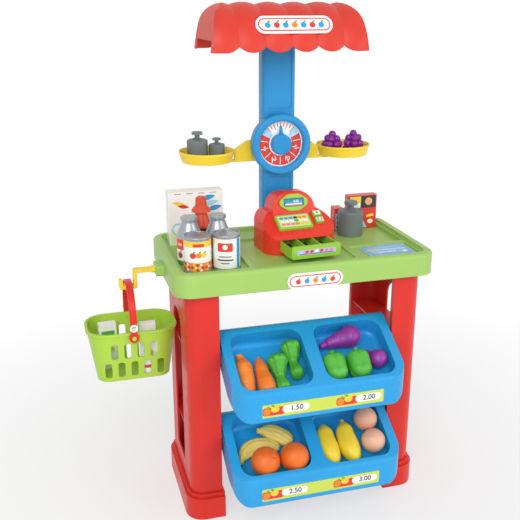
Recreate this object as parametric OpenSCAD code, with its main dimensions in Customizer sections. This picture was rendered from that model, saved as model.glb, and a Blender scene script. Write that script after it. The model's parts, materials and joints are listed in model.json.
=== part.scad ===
// Toy market stall: a counter on two legs with two sloping bins, a column with a balance scale and an awning,
// a cash register, a hanging basket and the play goods that belong to it.
// The origin is on the floor, midway between the two feet; the front faces -Y.

/* [Legs and feet] */
// Clear width between the two legs
leg_gap = 293; // [284:1:300]
// Width of a leg seen from the front
leg_width = 51; // [46:1:56]
// Depth of a leg from front to back
leg_depth = 185; // [176:1:192]
// Wall thickness of a leg
leg_wall = 3; // [2.5:0.5:4]
// Width of the lip turned in along each open edge of a leg
leg_lip = 9; // [6:0.5:12]
// Plan radius of a leg's outer corners
leg_corner = 22; // [16:1:24]
// Width of the window in a leg's outer side
window_width = 66; // [50:1:80]
// Height of the window's sill above the floor
window_sill = 78; // [66:1:100]
// Height of the window's head above the floor
window_head = 345; // [310:1:360]
// Radius of the window's upper corners
window_arch = 28; // [16:1:30]
// Height of a foot
foot_height = 46; // [38:1:54]
// How far a foot stands out from its leg
foot_margin = 8; // [6:0.5:10]
// Thickness of a foot's floor
foot_floor = 5; // [4:0.5:8]
// Height of the set-back band along a foot's top edge
foot_band = 7; // [4:0.5:10]

/* [Counter] */
// Length of the counter from end to end
counter_length = 432; // [424:1:448]
// Depth of the counter from front to back
counter_depth = 240; // [234:1:250]
// How far the counter's middle lies behind the legs' middle
counter_setback = 14; // [8:1:18]
// Height of the counter's underside above the floor
counter_underside = 399; // [390:1:415]
// Height of the counter from the skirt's foot to the rim
counter_height = 37; // [34:1:42]
// Plan radius of the counter's corners
counter_corner = 30; // [26:1:36]
// Wall thickness of the counter
counter_wall = 3; // [2.5:0.5:4]
// Width of the rim round the counter top
rim_width = 14; // [12:1:18]
// Rounding along the rim's upper edge
rim_round = 6; // [3:0.5:6]
// Depth of the deck below the rim
deck_drop = 5; // [3:0.5:6]
// Depth of the two goods bays below the deck
goods_bay_depth = 6; // [4:0.5:7]
// Depth of the register's bay and of the card bay below the deck
flat_bay_depth = 3; // [2:0.5:4]
// Margin of deck left between the rim and a bay
bay_margin = 6; // [4:0.5:8]
// Width of the register's bay
till_bay_width = 168; // [160:1:176]
// Width of the ridge between neighbouring bays
bay_ridge = 9; // [6:0.5:12]
// Depth of the card bay from front to back
card_bay_depth = 66; // [60:1:72]
// Height of the collars under the counter that hold the legs
leg_collar = 14; // [8:1:16]

/* [Hook] */
// Distance that a hook socket stands out from the counter's end
socket_reach = 12; // [10:1:16]
// Width of a hook socket from front to back
socket_width = 34; // [26:1:40]
// Height of a hook socket
socket_height = 18; // [16:1:24]
// Diameter of the round hole in a hook socket
socket_bore = 12; // [9:0.5:14]
// Depth of the round hole in a hook socket
socket_depth = 13; // [10:1:14]
// Length of the hook's arm outside its socket
hook_reach = 36; // [35:1:44]
// Width of the hook from front to back
hook_width = 12; // [9:0.5:16]
// Thickness of the hook's arm and of its bend
hook_thick = 6; // [5:0.5:7]
// Drop from the arm's axis to the seat of the hook
hook_drop = 20; // [17:1:26]
// Clear width of the hook's trough
hook_trough = 17; // [16:0.5:20]

/* [Bins] */
// Height of the upper bin's front edge above the floor
upper_bin_height = 259; // [252:1:266]
// Distance between the two bins, measured upwards
bin_pitch = 150; // [144:1:158]
// Slope of a bin's rim in degrees
bin_slope = 30; // [27:1:33]
// How far a bin's front stands ahead of the legs
bin_reach = 79; // [74:1:84]
// Gap between a bin's side and each leg
bin_gap = 3.5; // [2:0.5:6]
// Length of a bin's rim measured up the slope
bin_length = 146; // [142:1:152]
// Height of a bin's front wall
bin_front = 48; // [44:1:54]
// Height of a bin's back wall
bin_back = 48; // [46:1:54]
// Wall thickness of a bin
bin_wall = 2.5; // [2:0.5:3]
// Plan radius of a bin's front corners
bin_corner = 26; // [18:1:30]
// Radius of a bin's lower front corners seen from the front
bin_chin = 30; // [18:1:34]
// Depth of a pocket below the rim
pocket_depth = 32; // [28:1:34]
// Length of a pocket measured up the slope
pocket_length = 107; // [105:0.5:110]
// Distance of a pocket from the bin's front edge, up the slope
pocket_start = 9; // [7:0.5:10]
// Width of the bar between a bin's two pockets
pocket_bar = 22; // [18:0.5:24]
// Width of the rim beside each pocket
pocket_rim = 15; // [12:0.5:16]
// Plan radius of a pocket's corners
pocket_corner = 20; // [14:1:22]
// Rounding along a pocket's floor
pocket_round = 9; // [6:0.5:10]
// Height of a bin's side lugs above its front edge
lug_rise = 30; // [27:1:34]
// Length of a bin's side lugs from the bin's side
lug_reach = 20; // [15:1:26]
// Width of a bin's side lugs from front to back
lug_width = 32; // [26:1:36]
// Thickness of a bin's side lugs
lug_thick = 9; // [6:0.5:10]

/* [Column and awning] */
// Width of the column
column_width = 57; // [52:1:62]
// Depth of the column from front to back
column_depth = 31; // [30:1:36]
// Distance of the column's middle behind the legs' middle
column_place = 91; // [88:1:94]
// Wall thickness of the column
column_wall = 3; // [2.5:0.5:3.5]
// Rounding of the column's long edges
column_round = 7; // [5:0.5:9]
// Height of the column's head above the counter's rim
column_rise = 356; // [344:1:364]
// Width of the raised border at each side of the column's front panel
panel_border = 7; // [6:0.5:10]
// Depth of the column's front panel below its border
panel_depth = 1.4; // [0.8:0.2:1.6]
// Height of the socket that holds the column on the counter
column_collar = 12; // [8:1:16]
// Height of the awning's top above the column's head
awning_rise = 29; // [25:1:36]
// Length of the awning from end to end
awning_length = 256; // [248:1:270]
// Radius of the awning's arch
awning_arch = 70; // [68:0.5:73]
// How far the awning's middle lies ahead of the column's middle
awning_lead = 15; // [10:1:18]
// Height of the flutes on the awning
flute_rise = 4; // [2:0.5:5]
// Width of the groove between two flutes
flute_groove = 1.6; // [1:0.2:3]
// Number of flutes along the awning
flute_count = 6; // [5:1:8]
// Depth of the scallops along the awning's hems
scallop_drop = 8; // [4:0.5:10]
// Rounding of the awning's ends seen from the front
awning_end = 34; // [26:1:44]
// Draw-in of each end of the awning from its hems to its top
awning_draft = 10; // [4:1:16]
// Wall thickness of the awning
awning_wall = 2.5; // [2:0.5:3]
// Height of the opening at the awning's ends above its hems
end_opening = 17; // [10:1:22]

/* [Scale] */
// Height of the scale's axle above the counter's rim
axle_rise = 158; // [149:1:169]
// Diameter of the scale's axle
axle_d = 6; // [5:0.5:7]
// Outer diameter of the dial ring
dial_d = 102; // [96:1:108]
// Width of the dial ring
dial_rim = 12.5; // [10:0.5:14]
// Depth of the dial ring from front to back
dial_ring_depth = 13; // [12:0.5:16]
// Thickness of the drum behind the dial
dial_drum = 6; // [5:0.5:9]
// Thickness of the dial's printed disc
dial_disc = 2; // [1.5:0.5:3]
// Diameter of the pointer's hub
pointer_hub = 35; // [30:1:40]
// Length of the pointer from the axle
pointer_length = 31; // [26:1:33]
// Thickness of the beam from front to back
beam_thick = 9; // [7:0.5:10]
// Distance from the axle to the middle of a pan
pan_place = 122; // [118:1:130]
// Outer diameter of a pan
pan_d = 94; // [90:1:98]
// Depth of a pan
pan_depth = 18; // [14:0.5:22]
// Wall thickness of a pan
pan_wall = 2; // [1.5:0.5:2.5]
// Depth of the beam's underside below the axle
beam_drop = 31; // [28:0.5:34]
// Largest tilt of the beam in degrees to each side
beam_tilt = 10; // [6:1:12]
// Body diameter of the small weight
small_weight_d = 27; // [24:1:29]
// Body diameter of the medium weight
medium_weight_d = 35; // [32:1:37]
// Body diameter of the large weight
large_weight_d = 45; // [42:1:48]
// Diameter of a grape
grape_d = 13; // [12:0.5:13.5]

/* [Cash register] */
// Width of the register
till_width = 126; // [120:1:130]
// Depth of the register
till_depth = 92; // [90:1:96]
// Height of the register's shoulders
till_shoulder = 60; // [57:1:66]
// Height of the register's hood
till_height = 91; // [86:1:98]
// Height of the register's front edge
till_front = 32; // [31:0.5:36]
// Turn of the register on the counter in degrees
till_turn = 4; // [0:1:6]
// Sideways place of the register's middle
till_shift = 10; // [6:1:12]
// Height of the register's base, whose top carries the drawer
till_base = 8; // [8:0.5:9]
// Wall thickness of the register's base
till_plate = 3; // [2:0.5:4]
// Width of the register's hood at its foot
hood_width = 82; // [76:1:88]
// Width of the cash drawer
drawer_width = 84; // [76:1:86]
// Height of the cash drawer
drawer_height = 17; // [14:0.5:18]
// Length of the cash drawer
drawer_length = 76; // [70:1:80]
// Height of the drawer's front panel
drawer_panel = 21; // [18:0.5:23]
// How far the drawer stands open
drawer_open = 46; // [36:1:50]
// Wall thickness of the drawer
drawer_wall = 2; // [1.5:0.5:2.5]
// Width of a key
key_width = 15; // [12:0.5:17]
// Length of a key up the slope
key_length = 12; // [10:0.5:13]
// Travel of a key
key_travel = 2; // [1.5:0.5:2.5]
// Width of the keypad
keypad_width = 60; // [54:1:64]
// Length of the keypad up the slope
keypad_length = 32; // [28:1:34]

/* [Basket] */
// Length of the basket's rim
basket_length = 144; // [136:1:146]
// Width of the basket's rim from front to back
basket_width = 92; // [86:1:98]
// Height of the basket
basket_height = 88; // [82:1:94]
// Draw-in of each wall from the rim down to the floor
basket_taper = 13; // [8:1:15]
// Plan radius of the basket's corners at the rim
basket_corner = 34; // [28:1:38]
// Wall thickness of the basket
basket_wall = 2.2; // [1.8:0.2:3]
// Width of the handle's strap
strap_width = 11; // [9:0.5:12]
// Thickness of the handle's strap
strap_thick = 3; // [2.5:0.5:4]
// Height of the handle's top above its pivots
handle_rise = 80; // [74:1:90]
// Diameter of the handle's pivot pins
pivot_d = 7; // [6:0.5:8]
// Drop of the pivots below the rim
pivot_drop = 8; // [7:0.5:10]

/* [Play goods] */
// Diameter of a can
can_d = 44; // [40:1:44]
// Height of a can
can_height = 58; // [52:1:64]
// Diameter of a churn
churn_d = 40; // [36:1:42]
// Height of a churn
churn_height = 76; // [70:1:82]
// Diameter of the sauce bottle
bottle_d = 32; // [28:1:36]
// Height of the sauce bottle
bottle_height = 94; // [88:1:100]
// Width of the milk carton
carton_width = 94; // [88:1:96]
// Depth of the milk carton
carton_depth = 26; // [24:1:28]
// Height of the milk carton
carton_height = 92; // [84:1:98]
// Width of the tall box
tall_box_width = 56; // [50:1:58]
// Depth of the tall box
tall_box_depth = 17; // [15:1:19]
// Height of the tall box
tall_box_height = 62; // [56:1:68]
// Width of the small box
small_box_width = 16; // [14:1:18]
// Depth of the small box
small_box_depth = 22; // [20:1:24]
// Height of the small box
small_box_height = 42; // [36:1:48]
// Width of the pay card
card_width = 80; // [76:1:84]
// Depth of the pay card
card_depth = 54; // [50:1:56]
// Thickness of the pay card
card_thick = 1.2; // [0.8:0.2:2]
// Width of the carton in the basket
basket_carton_width = 26; // [24:1:27]
// Depth of the carton in the basket
basket_carton_depth = 11; // [10:0.5:12]
// Height of the carton in the basket
basket_carton_height = 92; // [80:1:98]
// Width of the packet in the basket
basket_packet_width = 29; // [26:1:30]
// Depth of the packet in the basket
basket_packet_depth = 16; // [14:1:17]
// Height of the packet in the basket
basket_packet_height = 80; // [70:1:88]
// Largest diameter of a carrot
carrot_d = 28; // [25:0.5:29]
// Length of a carrot
carrot_length = 68; // [62:1:72]
// Diameter of the leafy head of the greens
greens_d = 34; // [30:0.5:34.5]
// Length of the greens
greens_length = 70; // [66:1:74]
// How far the right-hand greens lie further up the slope
greens_stagger = 23; // [22:0.5:26]
// Largest diameter of the eggplant
eggplant_d = 38; // [34:0.5:40]
// Distance between the eggplant's thick and thin end
eggplant_span = 44; // [38:1:48]
// Diameter of a pepper
pepper_d = 40; // [36:0.5:41]
// Height of a pepper
pepper_height = 48; // [42:1:50]
// Diameter of the onion
onion_d = 31; // [28:0.5:32]
// Diameter of an orange
orange_d = 48; // [44:0.5:49]
// Largest diameter of a mango
mango_d = 35; // [31:0.5:35]
// Length of a mango
mango_length = 80; // [72:1:84]
// Diameter of a peach
peach_d = 41; // [36:0.5:42]
// Thickness of a banana
banana_d = 14; // [12:0.5:14.5]
// Bend radius of the front bunch's inner banana
banana_bend = 33; // [31:0.5:34]

/* [Fits] */
// Clearance round parts that plug together
fit = 0.3; // [0.2:0.05:0.4]
// Clearance round turning pins
pin_fit = 0.06; // [0.03:0.01:0.1]
// Air left between a loose piece and what it lies on
rest_gap = 0.4; // [0.3:0.05:0.6]
// Air left between neighbouring loose pieces
goods_gap = 1; // [0.6:0.1:1.4]

/* [Hidden] */
$fn = 48;

red = "#e23a2e";
awning_red = "#ec5b4b";
green = "#a9d56c";
blue = "#2f8fd8";
yellow = "#f8d91c";
basket_green = "#b4d335";
weight_grey = "#75797c";

// A cut reaches this far past the face that it opens
over = 1;

// Legs and feet
leg_in = leg_gap / 2;
leg_out = leg_in + leg_width;
leg_half = leg_depth / 2;
foot_in = leg_in - fit - leg_wall;
foot_half = leg_half + foot_margin;

// Levels of the counter
counter_top = counter_underside + counter_height;
deck_level = counter_top - deck_drop;
goods_floor = deck_level - goods_bay_depth;
flat_floor = deck_level - flat_bay_depth;
counter_roof = goods_floor - counter_wall;
leg_top = counter_roof;

// Bays of the counter, measured from the counter's middle
bay_end = counter_length / 2 - rim_width - bay_margin;
bay_front = -(counter_depth / 2 - rim_width - bay_margin);
till_half = till_bay_width / 2;
side_bay_in = till_half + bay_ridge;
side_bay_width = bay_end - side_bay_in;
side_bay_mid = (bay_end + side_bay_in) / 2;
goods_bay_length = -2 * bay_front;
card_bay_mid = bay_front + card_bay_depth / 2;
back_bay_front = bay_front + card_bay_depth + bay_ridge;
back_bay_length = -bay_front - back_bay_front;
back_bay_mid = (back_bay_front - bay_front) / 2;
bay_corner = 5;
till_bay_front = bay_front + 8;
till_bay_back = column_place - column_depth / 2 - fit - 2 * counter_wall - counter_setback;
till_bay_length = till_bay_back - till_bay_front;
till_bay_mid = (till_bay_back + till_bay_front) / 2;
till_place = counter_setback + 6;

// Hook and its sockets
socket_level = counter_underside + socket_height / 2 + 3;
hook_place = counter_setback;
hook_root = counter_length / 2 + socket_reach;
trough_mid = hook_root + hook_reach + hook_trough / 2;
hook_seat = socket_level - hook_drop;
hook_saddle = 9;
saddle_rise = 3;
hook_tip = 4;

// Bins
bin_width = leg_gap - 2 * bin_gap;
bin_face = -(leg_half + bin_reach);
bin_depth = bin_length * cos(bin_slope);
bin_rise = bin_length * sin(bin_slope);
lower_bin_height = upper_bin_height - bin_pitch;
pocket_out = bin_width / 2 - pocket_rim;
pocket_in = pocket_bar / 2;
pocket_width = pocket_out - pocket_in;
pocket_mid = (pocket_out + pocket_in) / 2;
pocket_end = pocket_start + pocket_length;
pocket_floor = rest_gap - pocket_depth;
lug_front = -leg_half + leg_lip;
back_roll = 14;
front_roll = 8;
back_corner = 8;

// Column, scale and awning
column_foot = deck_level;
column_head = counter_top + column_rise;
awning_top = column_head + awning_rise;
axle_height = counter_top + axle_rise;
column_face = column_place - column_depth / 2;
dial_back = column_face - dial_drum;
dial_front = dial_back - dial_ring_depth;
dial_out = dial_d / 2;
dial_in = dial_out - dial_rim;
disc_rebate = 2;
disc_face = dial_back - dial_disc;
hub_half = 6;
hub_cover = 3;
press_gap = 0.04;
slot_gap = 1;
sleeve_height = 26;
flap_width = 14;
bearing_boss = 5;
axle_front = dial_front + 3;
axle_back = column_place + column_depth / 2 - column_wall / 2;
beam_rise = 8;
beam_peak = 52;
pan_out = pan_d / 2;
pan_foot = pan_out - 5;
tongue_thick = 4;
pan_level = axle_height - beam_drop + tongue_thick;
pan_seat_d = 36;
arm_end = pan_place - pan_out - 0.6;
slot_sweep = column_width / 2 * tan(beam_tilt) + 2;
awning_mid = column_place - awning_lead;
awning_axis = awning_top - awning_arch - flute_rise;
awning_half = awning_length / 2;
flute_pitch = awning_length / flute_count;
flute_chord = flute_pitch - flute_groove;

// Cash register, in its own frame with its middle on the bay's floor
till_back = till_depth / 2;
deck_top_y = -till_back + 54;
deck_angle = atan2(till_shoulder - till_front, deck_top_y + till_back - 6);
hood_front = -till_back + 46;
hood_lean = 16;
drawer_floor = till_base + fit;
drawer_front = 4;
drawer_corner = 4;
drawer_wells = 3;
key_proud = 5;
key_sunk = 5;
till_edge = 6;
till_corner = 27;
hood_crown = 27;
plate_inset = 5;
key_place = 38;
upper_key_up = 40;
lower_key_up = upper_key_up - key_length - 3;
keypad_place = -8;
keypad_up = 26;
bezel_up = 15;
bezel_width = 50;
bezel_height = 28;
bezel_thick = 3;
screen_width = 36;
screen_height = 13;
screen_corner = 2;
screen_sink = 1;
key_corner = 2;
key_round = 1;
keypad_corner = 3;
keypad_round = 1.5;

// Basket
basket_mid = trough_mid;
rim_lip = 1.5;
strap_gap = 0.5;
strap_inner = basket_width / 2 + rim_lip + strap_gap;
strap_sag = strap_inner - sqrt(strap_inner * strap_inner - hook_width * hook_width / 4);
basket_top = hook_seat + strap_sag + rest_gap + strap_thick - handle_rise + pivot_drop;
basket_floor = basket_top - basket_height;
pivot_level = basket_top - pivot_drop;
slot_pitch = 21;
slot_width = 11;
slot_height = 27;
slot_low = 7;
slot_bar = 7;
pin_root = 2;
pin_head = 2;
eye_margin = 4.5;
packet_turn = 5;
board_fold = 1;

// Weights and grapes, as shares of their diameter
weight_body = 0.98;
weight_neck = 0.12;
weight_cone = 0.1;
weight_knob = 0.26;
knob_place = 0.24;
knob_height = 0.13;
weight_step = (medium_weight_d + small_weight_d) / 4 + goods_gap;
grape_ring = 0.92;
grape_layer = 0.76;
grape_stalk = 0.8;
grape_step = grape_d * 1.42 + goods_gap;

// Goods on the counter, in rows from the front
edge_break = 1;
can_shift = -3;
can_step = can_d + 2 * goods_gap;
can_row = bay_front + can_d / 2 + 10;
churn_shift = -7;
churn_row = can_row + can_d / 2 + churn_d / 2 + goods_gap;
churn_neck = 0.58;
churn_shoulder = 0.6;
churn_lid = 6;
bottle_place = 14;
bottle_neck = 0.6;
bottle_shoulder = 0.5;
bottle_cap = 0.74;
box_row = back_bay_length / 2 - tall_box_depth / 2 - 3 * goods_gap;
weight_row = box_row - tall_box_depth / 2 - large_weight_d / 2 - 5 * goods_gap;
small_box_place = 18;
card_shift = 6;
card_turn = 3;
card_corner = 3;

// Goods in the bins, in rows up the slope and from the outside in
first_row = pocket_start + goods_gap;
carrot_first = goods_gap + carrot_d / 2 - pocket_out;
carrot_stump = 0.72;
carrot_stub = 6;
greens_place = -pocket_in - goods_gap - greens_d / 2;
greens_step = greens_d * 0.82;
greens_low = 0.62;
greens_high = 0.66;
greens_waist = 0.8;
eggplant_shift = 6;
pepper_lobe = 0.3;
pepper_toe = 0.8;
pepper_stalk = 7;
pepper_first = pocket_in + goods_gap + pepper_d / 2;
onion_place = 20;
onion_turn = 40;
onion_neck = 1.3;
orange_first = -pocket_in - goods_gap - orange_d / 2;
banana_step = banana_d * 0.72;
banana_root = 0.92;
banana_tip = 0.4;
banana_start = 40;
banana_end = 130;
banana_stalk_end = 160;
back_bend = banana_bend + banana_step + banana_d + 3 * goods_gap;
back_start = 34;
back_end = 84;
mango_share = 0.55;
mango_first = pocket_in + goods_gap + mango_d / 2;
peach_row = first_row + peach_d / 2 + 12;

// Direction of a vector as a vector of length one
function unit(v) = v / norm(v);

// Rectangle with round corners, centred
module rounded_rect(w, d, r) {
    square([w - 2 * r, d], center = true);
    square([w, d - 2 * r], center = true);
    for (x = [-1, 1], y = [-1, 1])
        translate([x * (w / 2 - r), y * (d / 2 - r)])
            circle(r);
}

// Convex outline with its own rounding at each corner
module soft_outline(corners, radii) {
    last = len(corners) - 1;
    before = [for (i = [0 : last]) unit(corners[(i + last) % (last + 1)] - corners[i])];
    after = [for (i = [0 : last]) unit(corners[(i + 1) % (last + 1)] - corners[i])];
    half_angle = [for (i = [0 : last]) acos(before[i] * after[i]) / 2];
    polygon([for (i = [0 : last])
        for (side = radii[i] > 0 ? [before[i], after[i]] : [before[i]])
            corners[i] + side * radii[i] / tan(half_angle[i])]);
    for (i = [0 : last])
        if (radii[i] > 0)
            translate(corners[i] + unit(before[i] + after[i]) * radii[i] / sin(half_angle[i]))
                circle(radii[i]);
}

// Bar with round ends between two points
module round_bar(from, to, thick) {
    along = to - from;
    translate(from)
        rotate(atan2(along[1], along[0]))
            translate([0, -thick / 2])
                square([norm(along), thick]);
    for (end = [from, to])
        translate(end)
            circle(d = thick);
}

// Outward half section of a slab with a rounded upper edge
module slab_edge(r, h, e) {
    square([r - e, h]);
    square([r, h - e]);
    intersection() {
        square([r, h]);
        translate([r - e, h - e])
            circle(e);
    }
}

// Slab of height h whose half section, drawn as a child, is swept round corner axes at x and y
module swept_slab(x, y, h) {
    translate([-x, -y, 0])
        cube([2 * x, 2 * y, h]);
    for (turn = [0, 180])
        rotate(turn) {
            translate([x, y, 0])
                rotate_extrude(angle = 90)
                    children();
            translate([-x, y, 0])
                rotate(90)
                    rotate_extrude(angle = 90)
                        children();
            translate([0, y, 0])
                rotate([90, 0, 90])
                    linear_extrude(2 * x, center = true)
                        children();
            translate([x, 0, 0])
                rotate([90, 0, 0])
                    linear_extrude(2 * y, center = true)
                        children();
        }
}

// Slab with round plan corners r and a rounding e along its upper edge
module soft_slab(w, d, h, r, e) {
    swept_slab(w / 2 - r, d / 2 - r, h)
        slab_edge(r, h, e);
}

// Round-ended taper from a ball of radius r1 at the origin to one of radius r2 at the height d
module drop(r1, r2, d) {
    tilt = asin((r1 - r2) / d);
    rotate_extrude() {
        intersection() {
            translate([0, -r1])
                square([r1, 2 * d + 2 * r1]);
            union() {
                circle(r1);
                translate([0, d])
                    circle(r2);
            }
        }
        polygon([[0, 0], [r1 * cos(tilt), r1 * sin(tilt)], [r2 * cos(tilt), d + r2 * sin(tilt)], [0, d]]);
    }
}

// The same taper lying along +Y on a plane that is r1 below the origin
module lying_drop(r1, r2, d) {
    rotate([-90 - asin((r1 - r2) / d), 0, 0])
        drop(r1, r2, d);
}

// Outline drawn in the Y and Z directions and drawn out along X, centred
module along_x(length) {
    rotate([90, 0, 90])
        linear_extrude(length, center = true)
            children();
}

// Outline drawn in the X and Z directions and drawn out along Y, centred
module along_y(length) {
    rotate([90, 0, 0])
        linear_extrude(length, center = true)
            children();
}

// Plan of one side of the stand: square on the inside, round at the two outer corners
module side_plan(inner, outer, half, r) {
    translate([inner, -half])
        square([outer - r - inner, 2 * half]);
    translate([inner, r - half])
        square([outer - inner, 2 * (half - r)]);
    for (s = [-1, 1])
        translate([outer - r, s * (half - r)])
            circle(r);
}

module foot() {
    color(red)
        difference() {
            union() {
                linear_extrude(foot_height - foot_band)
                    side_plan(foot_in, leg_out + foot_margin, foot_half, leg_corner + foot_margin);
                linear_extrude(foot_height)
                    side_plan(foot_in, leg_out + foot_margin / 2, foot_half - foot_margin / 2,
                        leg_corner + foot_margin / 2);
            }
            translate([0, 0, foot_floor])
                linear_extrude(foot_height)
                    side_plan(leg_in - fit, leg_out + fit, leg_half + fit, leg_corner + fit);
        }
}

module leg_hollow() {
    side_plan(leg_in + leg_wall, leg_out - leg_wall, leg_half - leg_wall, leg_corner - leg_wall);
}

module leg() {
    color(red)
        difference() {
            union() {
                translate([0, 0, foot_floor])
                    linear_extrude(leg_top - foot_floor)
                        difference() {
                            side_plan(leg_in, leg_out, leg_half, leg_corner);
                            leg_hollow();
                            translate([leg_in - over, leg_lip - leg_half])
                                square([leg_wall + 2 * over, 2 * (leg_half - leg_lip)]);
                        }
                for (bin_height = [upper_bin_height, lower_bin_height])
                    translate([0, 0, bin_height + lug_rise - leg_wall])
                        linear_extrude(leg_wall)
                            leg_hollow();
            }
            translate([leg_out - leg_wall / 2, 0, 0])
                along_x(leg_wall + 2 * over)
                    soft_outline([[-window_width / 2, window_sill], [window_width / 2, window_sill],
                        [window_width / 2, window_head], [-window_width / 2, window_head]],
                        [leg_wall, leg_wall, window_arch, window_arch]);
        }
}

module left_foot() mirror([1, 0, 0]) foot();
module right_foot() foot();
module left_leg() mirror([1, 0, 0]) leg();
module right_leg() leg();

// One bay of the counter, cut down from above the deck
module bay(mid, size, floor_level) {
    translate([mid[0], mid[1], floor_level - counter_underside])
        linear_extrude(counter_height)
            rounded_rect(size[0], size[1], bay_corner);
}

module counter_shell() {
    difference() {
        soft_slab(counter_length, counter_depth, counter_height, counter_corner, rim_round);
        translate([0, 0, -over])
            linear_extrude(counter_roof - counter_underside + over)
                rounded_rect(counter_length - 2 * counter_wall, counter_depth - 2 * counter_wall,
                    counter_corner - counter_wall);
        translate([0, 0, deck_level - counter_underside])
            linear_extrude(counter_height)
                rounded_rect(counter_length - 2 * rim_width, counter_depth - 2 * rim_width,
                    counter_corner - rim_width);
        bay([-side_bay_mid, 0], [side_bay_width, goods_bay_length], goods_floor);
        bay([side_bay_mid, back_bay_mid], [side_bay_width, back_bay_length], goods_floor);
        bay([side_bay_mid, card_bay_mid], [side_bay_width, card_bay_depth], flat_floor);
        bay([0, till_bay_mid], [till_bay_width, till_bay_length], flat_floor);
    }
}

// Round-nosed block at the counter's end with a level round hole
module hook_socket() {
    difference() {
        translate([counter_length / 2 - counter_wall, 0, socket_level])
            translate([(socket_reach + counter_wall) / 2, 0, 0])
                along_x(socket_reach + counter_wall)
                    rounded_rect(socket_width, socket_height, socket_height / 4);
        translate([hook_root - socket_depth, 0, socket_level])
            rotate([0, 90, 0])
                cylinder(h = socket_depth + over, d = socket_bore);
    }
}

// Collar under the counter round the head of a leg
module leg_collar_ring() {
    translate([0, 0, counter_roof - leg_collar])
        linear_extrude(leg_collar + over)
            difference() {
                side_plan(leg_in - fit - counter_wall, leg_out + fit + counter_wall,
                    leg_half + fit + counter_wall, leg_corner + fit + counter_wall);
                side_plan(leg_in - fit, leg_out + fit, leg_half + fit, leg_corner + fit);
            }
}

module counter() {
    color(green)
        union() {
            difference() {
                translate([0, counter_setback, counter_underside])
                    counter_shell();
                for (s = [0, 1])
                    mirror([s, 0, 0])
                        translate([hook_root - socket_depth, hook_place, socket_level])
                            rotate([0, 90, 0])
                                cylinder(h = socket_depth + over, d = socket_bore);
            }
            for (s = [0, 1])
                mirror([s, 0, 0]) {
                    translate([0, hook_place, 0])
                        hook_socket();
                    leg_collar_ring();
                }
            translate([0, column_place, deck_level - over])
                linear_extrude(column_collar + over)
                    difference() {
                        rounded_rect(column_width + 2 * (fit + counter_wall), column_depth + 2 * (fit + counter_wall),
                            column_round + fit + counter_wall);
                        rounded_rect(column_width + 2 * fit, column_depth + 2 * fit, column_round + fit);
                    }
        }
}

module hook() {
    near = hook_root + hook_reach - hook_thick / 2;
    far = hook_root + hook_reach + hook_trough + hook_thick / 2;
    bed = hook_seat - saddle_rise - hook_thick / 2;
    color(yellow)
        mirror([1, 0, 0])
            translate([0, hook_place, 0]) {
                along_y(hook_width) {
                    round_bar([hook_root + fit + hook_thick / 2, socket_level], [near, socket_level], hook_thick);
                    round_bar([near, socket_level], [near, bed], hook_thick);
                    round_bar([near, bed], [far, bed], hook_thick);
                    round_bar([far, bed], [far, hook_seat + hook_tip], hook_thick);
                    intersection() {
                        translate([trough_mid, hook_seat - hook_saddle])
                            circle(hook_saddle);
                        translate([near, bed])
                            square([far - near, hook_seat - bed]);
                    }
                }
                translate([hook_root - socket_depth + fit, 0, socket_level])
                    rotate([0, 90, 0])
                        cylinder(h = socket_depth + hook_thick, d = socket_bore - 2 * pin_fit);
            }
}

// Solid form of a bin, drawn in by the inset; its origin is the middle of the front edge
module bin_form(inset) {
    side = bin_width / 2 - inset;
    back = bin_depth - inset;
    lean = tan(bin_slope);
    sink = inset / cos(bin_slope);
    intersection() {
        along_x(bin_width + 2 * over)
            if (inset > 0)
                soft_outline([[inset, -2 * bin_front], [back, bin_rise - bin_back - bin_front],
                    [back, back * lean - sink - back_roll],
                    [back - back_roll * cos(bin_slope), back * lean - sink - back_roll * sin(bin_slope)],
                    [inset, inset * lean - sink]], [0, 0, 0, 0, front_roll - inset]);
            else
                soft_outline([[0, -bin_front], [back, bin_rise - bin_back], [back, back * lean], [0, 0]],
                    [0, 0, back_roll, front_roll]);
        translate([0, 0, -2 * bin_front])
            linear_extrude(4 * bin_front)
                soft_outline([[-side, inset], [side, inset], [side, back], [-side, back]],
                    [bin_corner - inset, bin_corner - inset, back_corner - inset, back_corner - inset]);
        translate([0, bin_depth / 2, 0])
            along_y(2 * bin_depth)
                soft_outline([[-side, inset - bin_front], [side, inset - bin_front],
                    [side, 2 * bin_rise], [-side, 2 * bin_rise]],
                    [bin_chin - inset, bin_chin - inset, 0, 0]);
    }
}

// The two pockets, swollen by grow and reaching above the rim by above
module pockets(grow, above) {
    for (s = [-1, 1])
        rotate([bin_slope, 0, 0])
            translate([s * pocket_mid, pocket_start + pocket_length / 2, above])
                mirror([0, 0, 1])
                    soft_slab(pocket_width + 2 * grow, pocket_length + 2 * grow, pocket_depth + above + grow,
                        pocket_corner + grow, pocket_round + grow);
}

module bin() {
    lug_start = lug_front + fit - bin_face;
    color(blue)
        union() {
            difference() {
                bin_form(0);
                difference() {
                    bin_form(bin_wall);
                    pockets(bin_wall, 0);
                }
                pockets(0, over);
            }
            for (s = [0, 1])
                mirror([s, 0, 0])
                    translate([bin_width / 2 - bin_wall / 2, lug_start, lug_rise])
                        cube([lug_reach + bin_wall / 2, lug_width, lug_thick]);
        }
}

module upper_tray() translate([0, bin_face, upper_bin_height]) bin();
module lower_tray() translate([0, bin_face, lower_bin_height]) bin();

// Plan of the column with an inset from its outline
module column_plan(inset) {
    rounded_rect(column_width - 2 * inset, column_depth - 2 * inset, column_round - inset);
}

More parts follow.
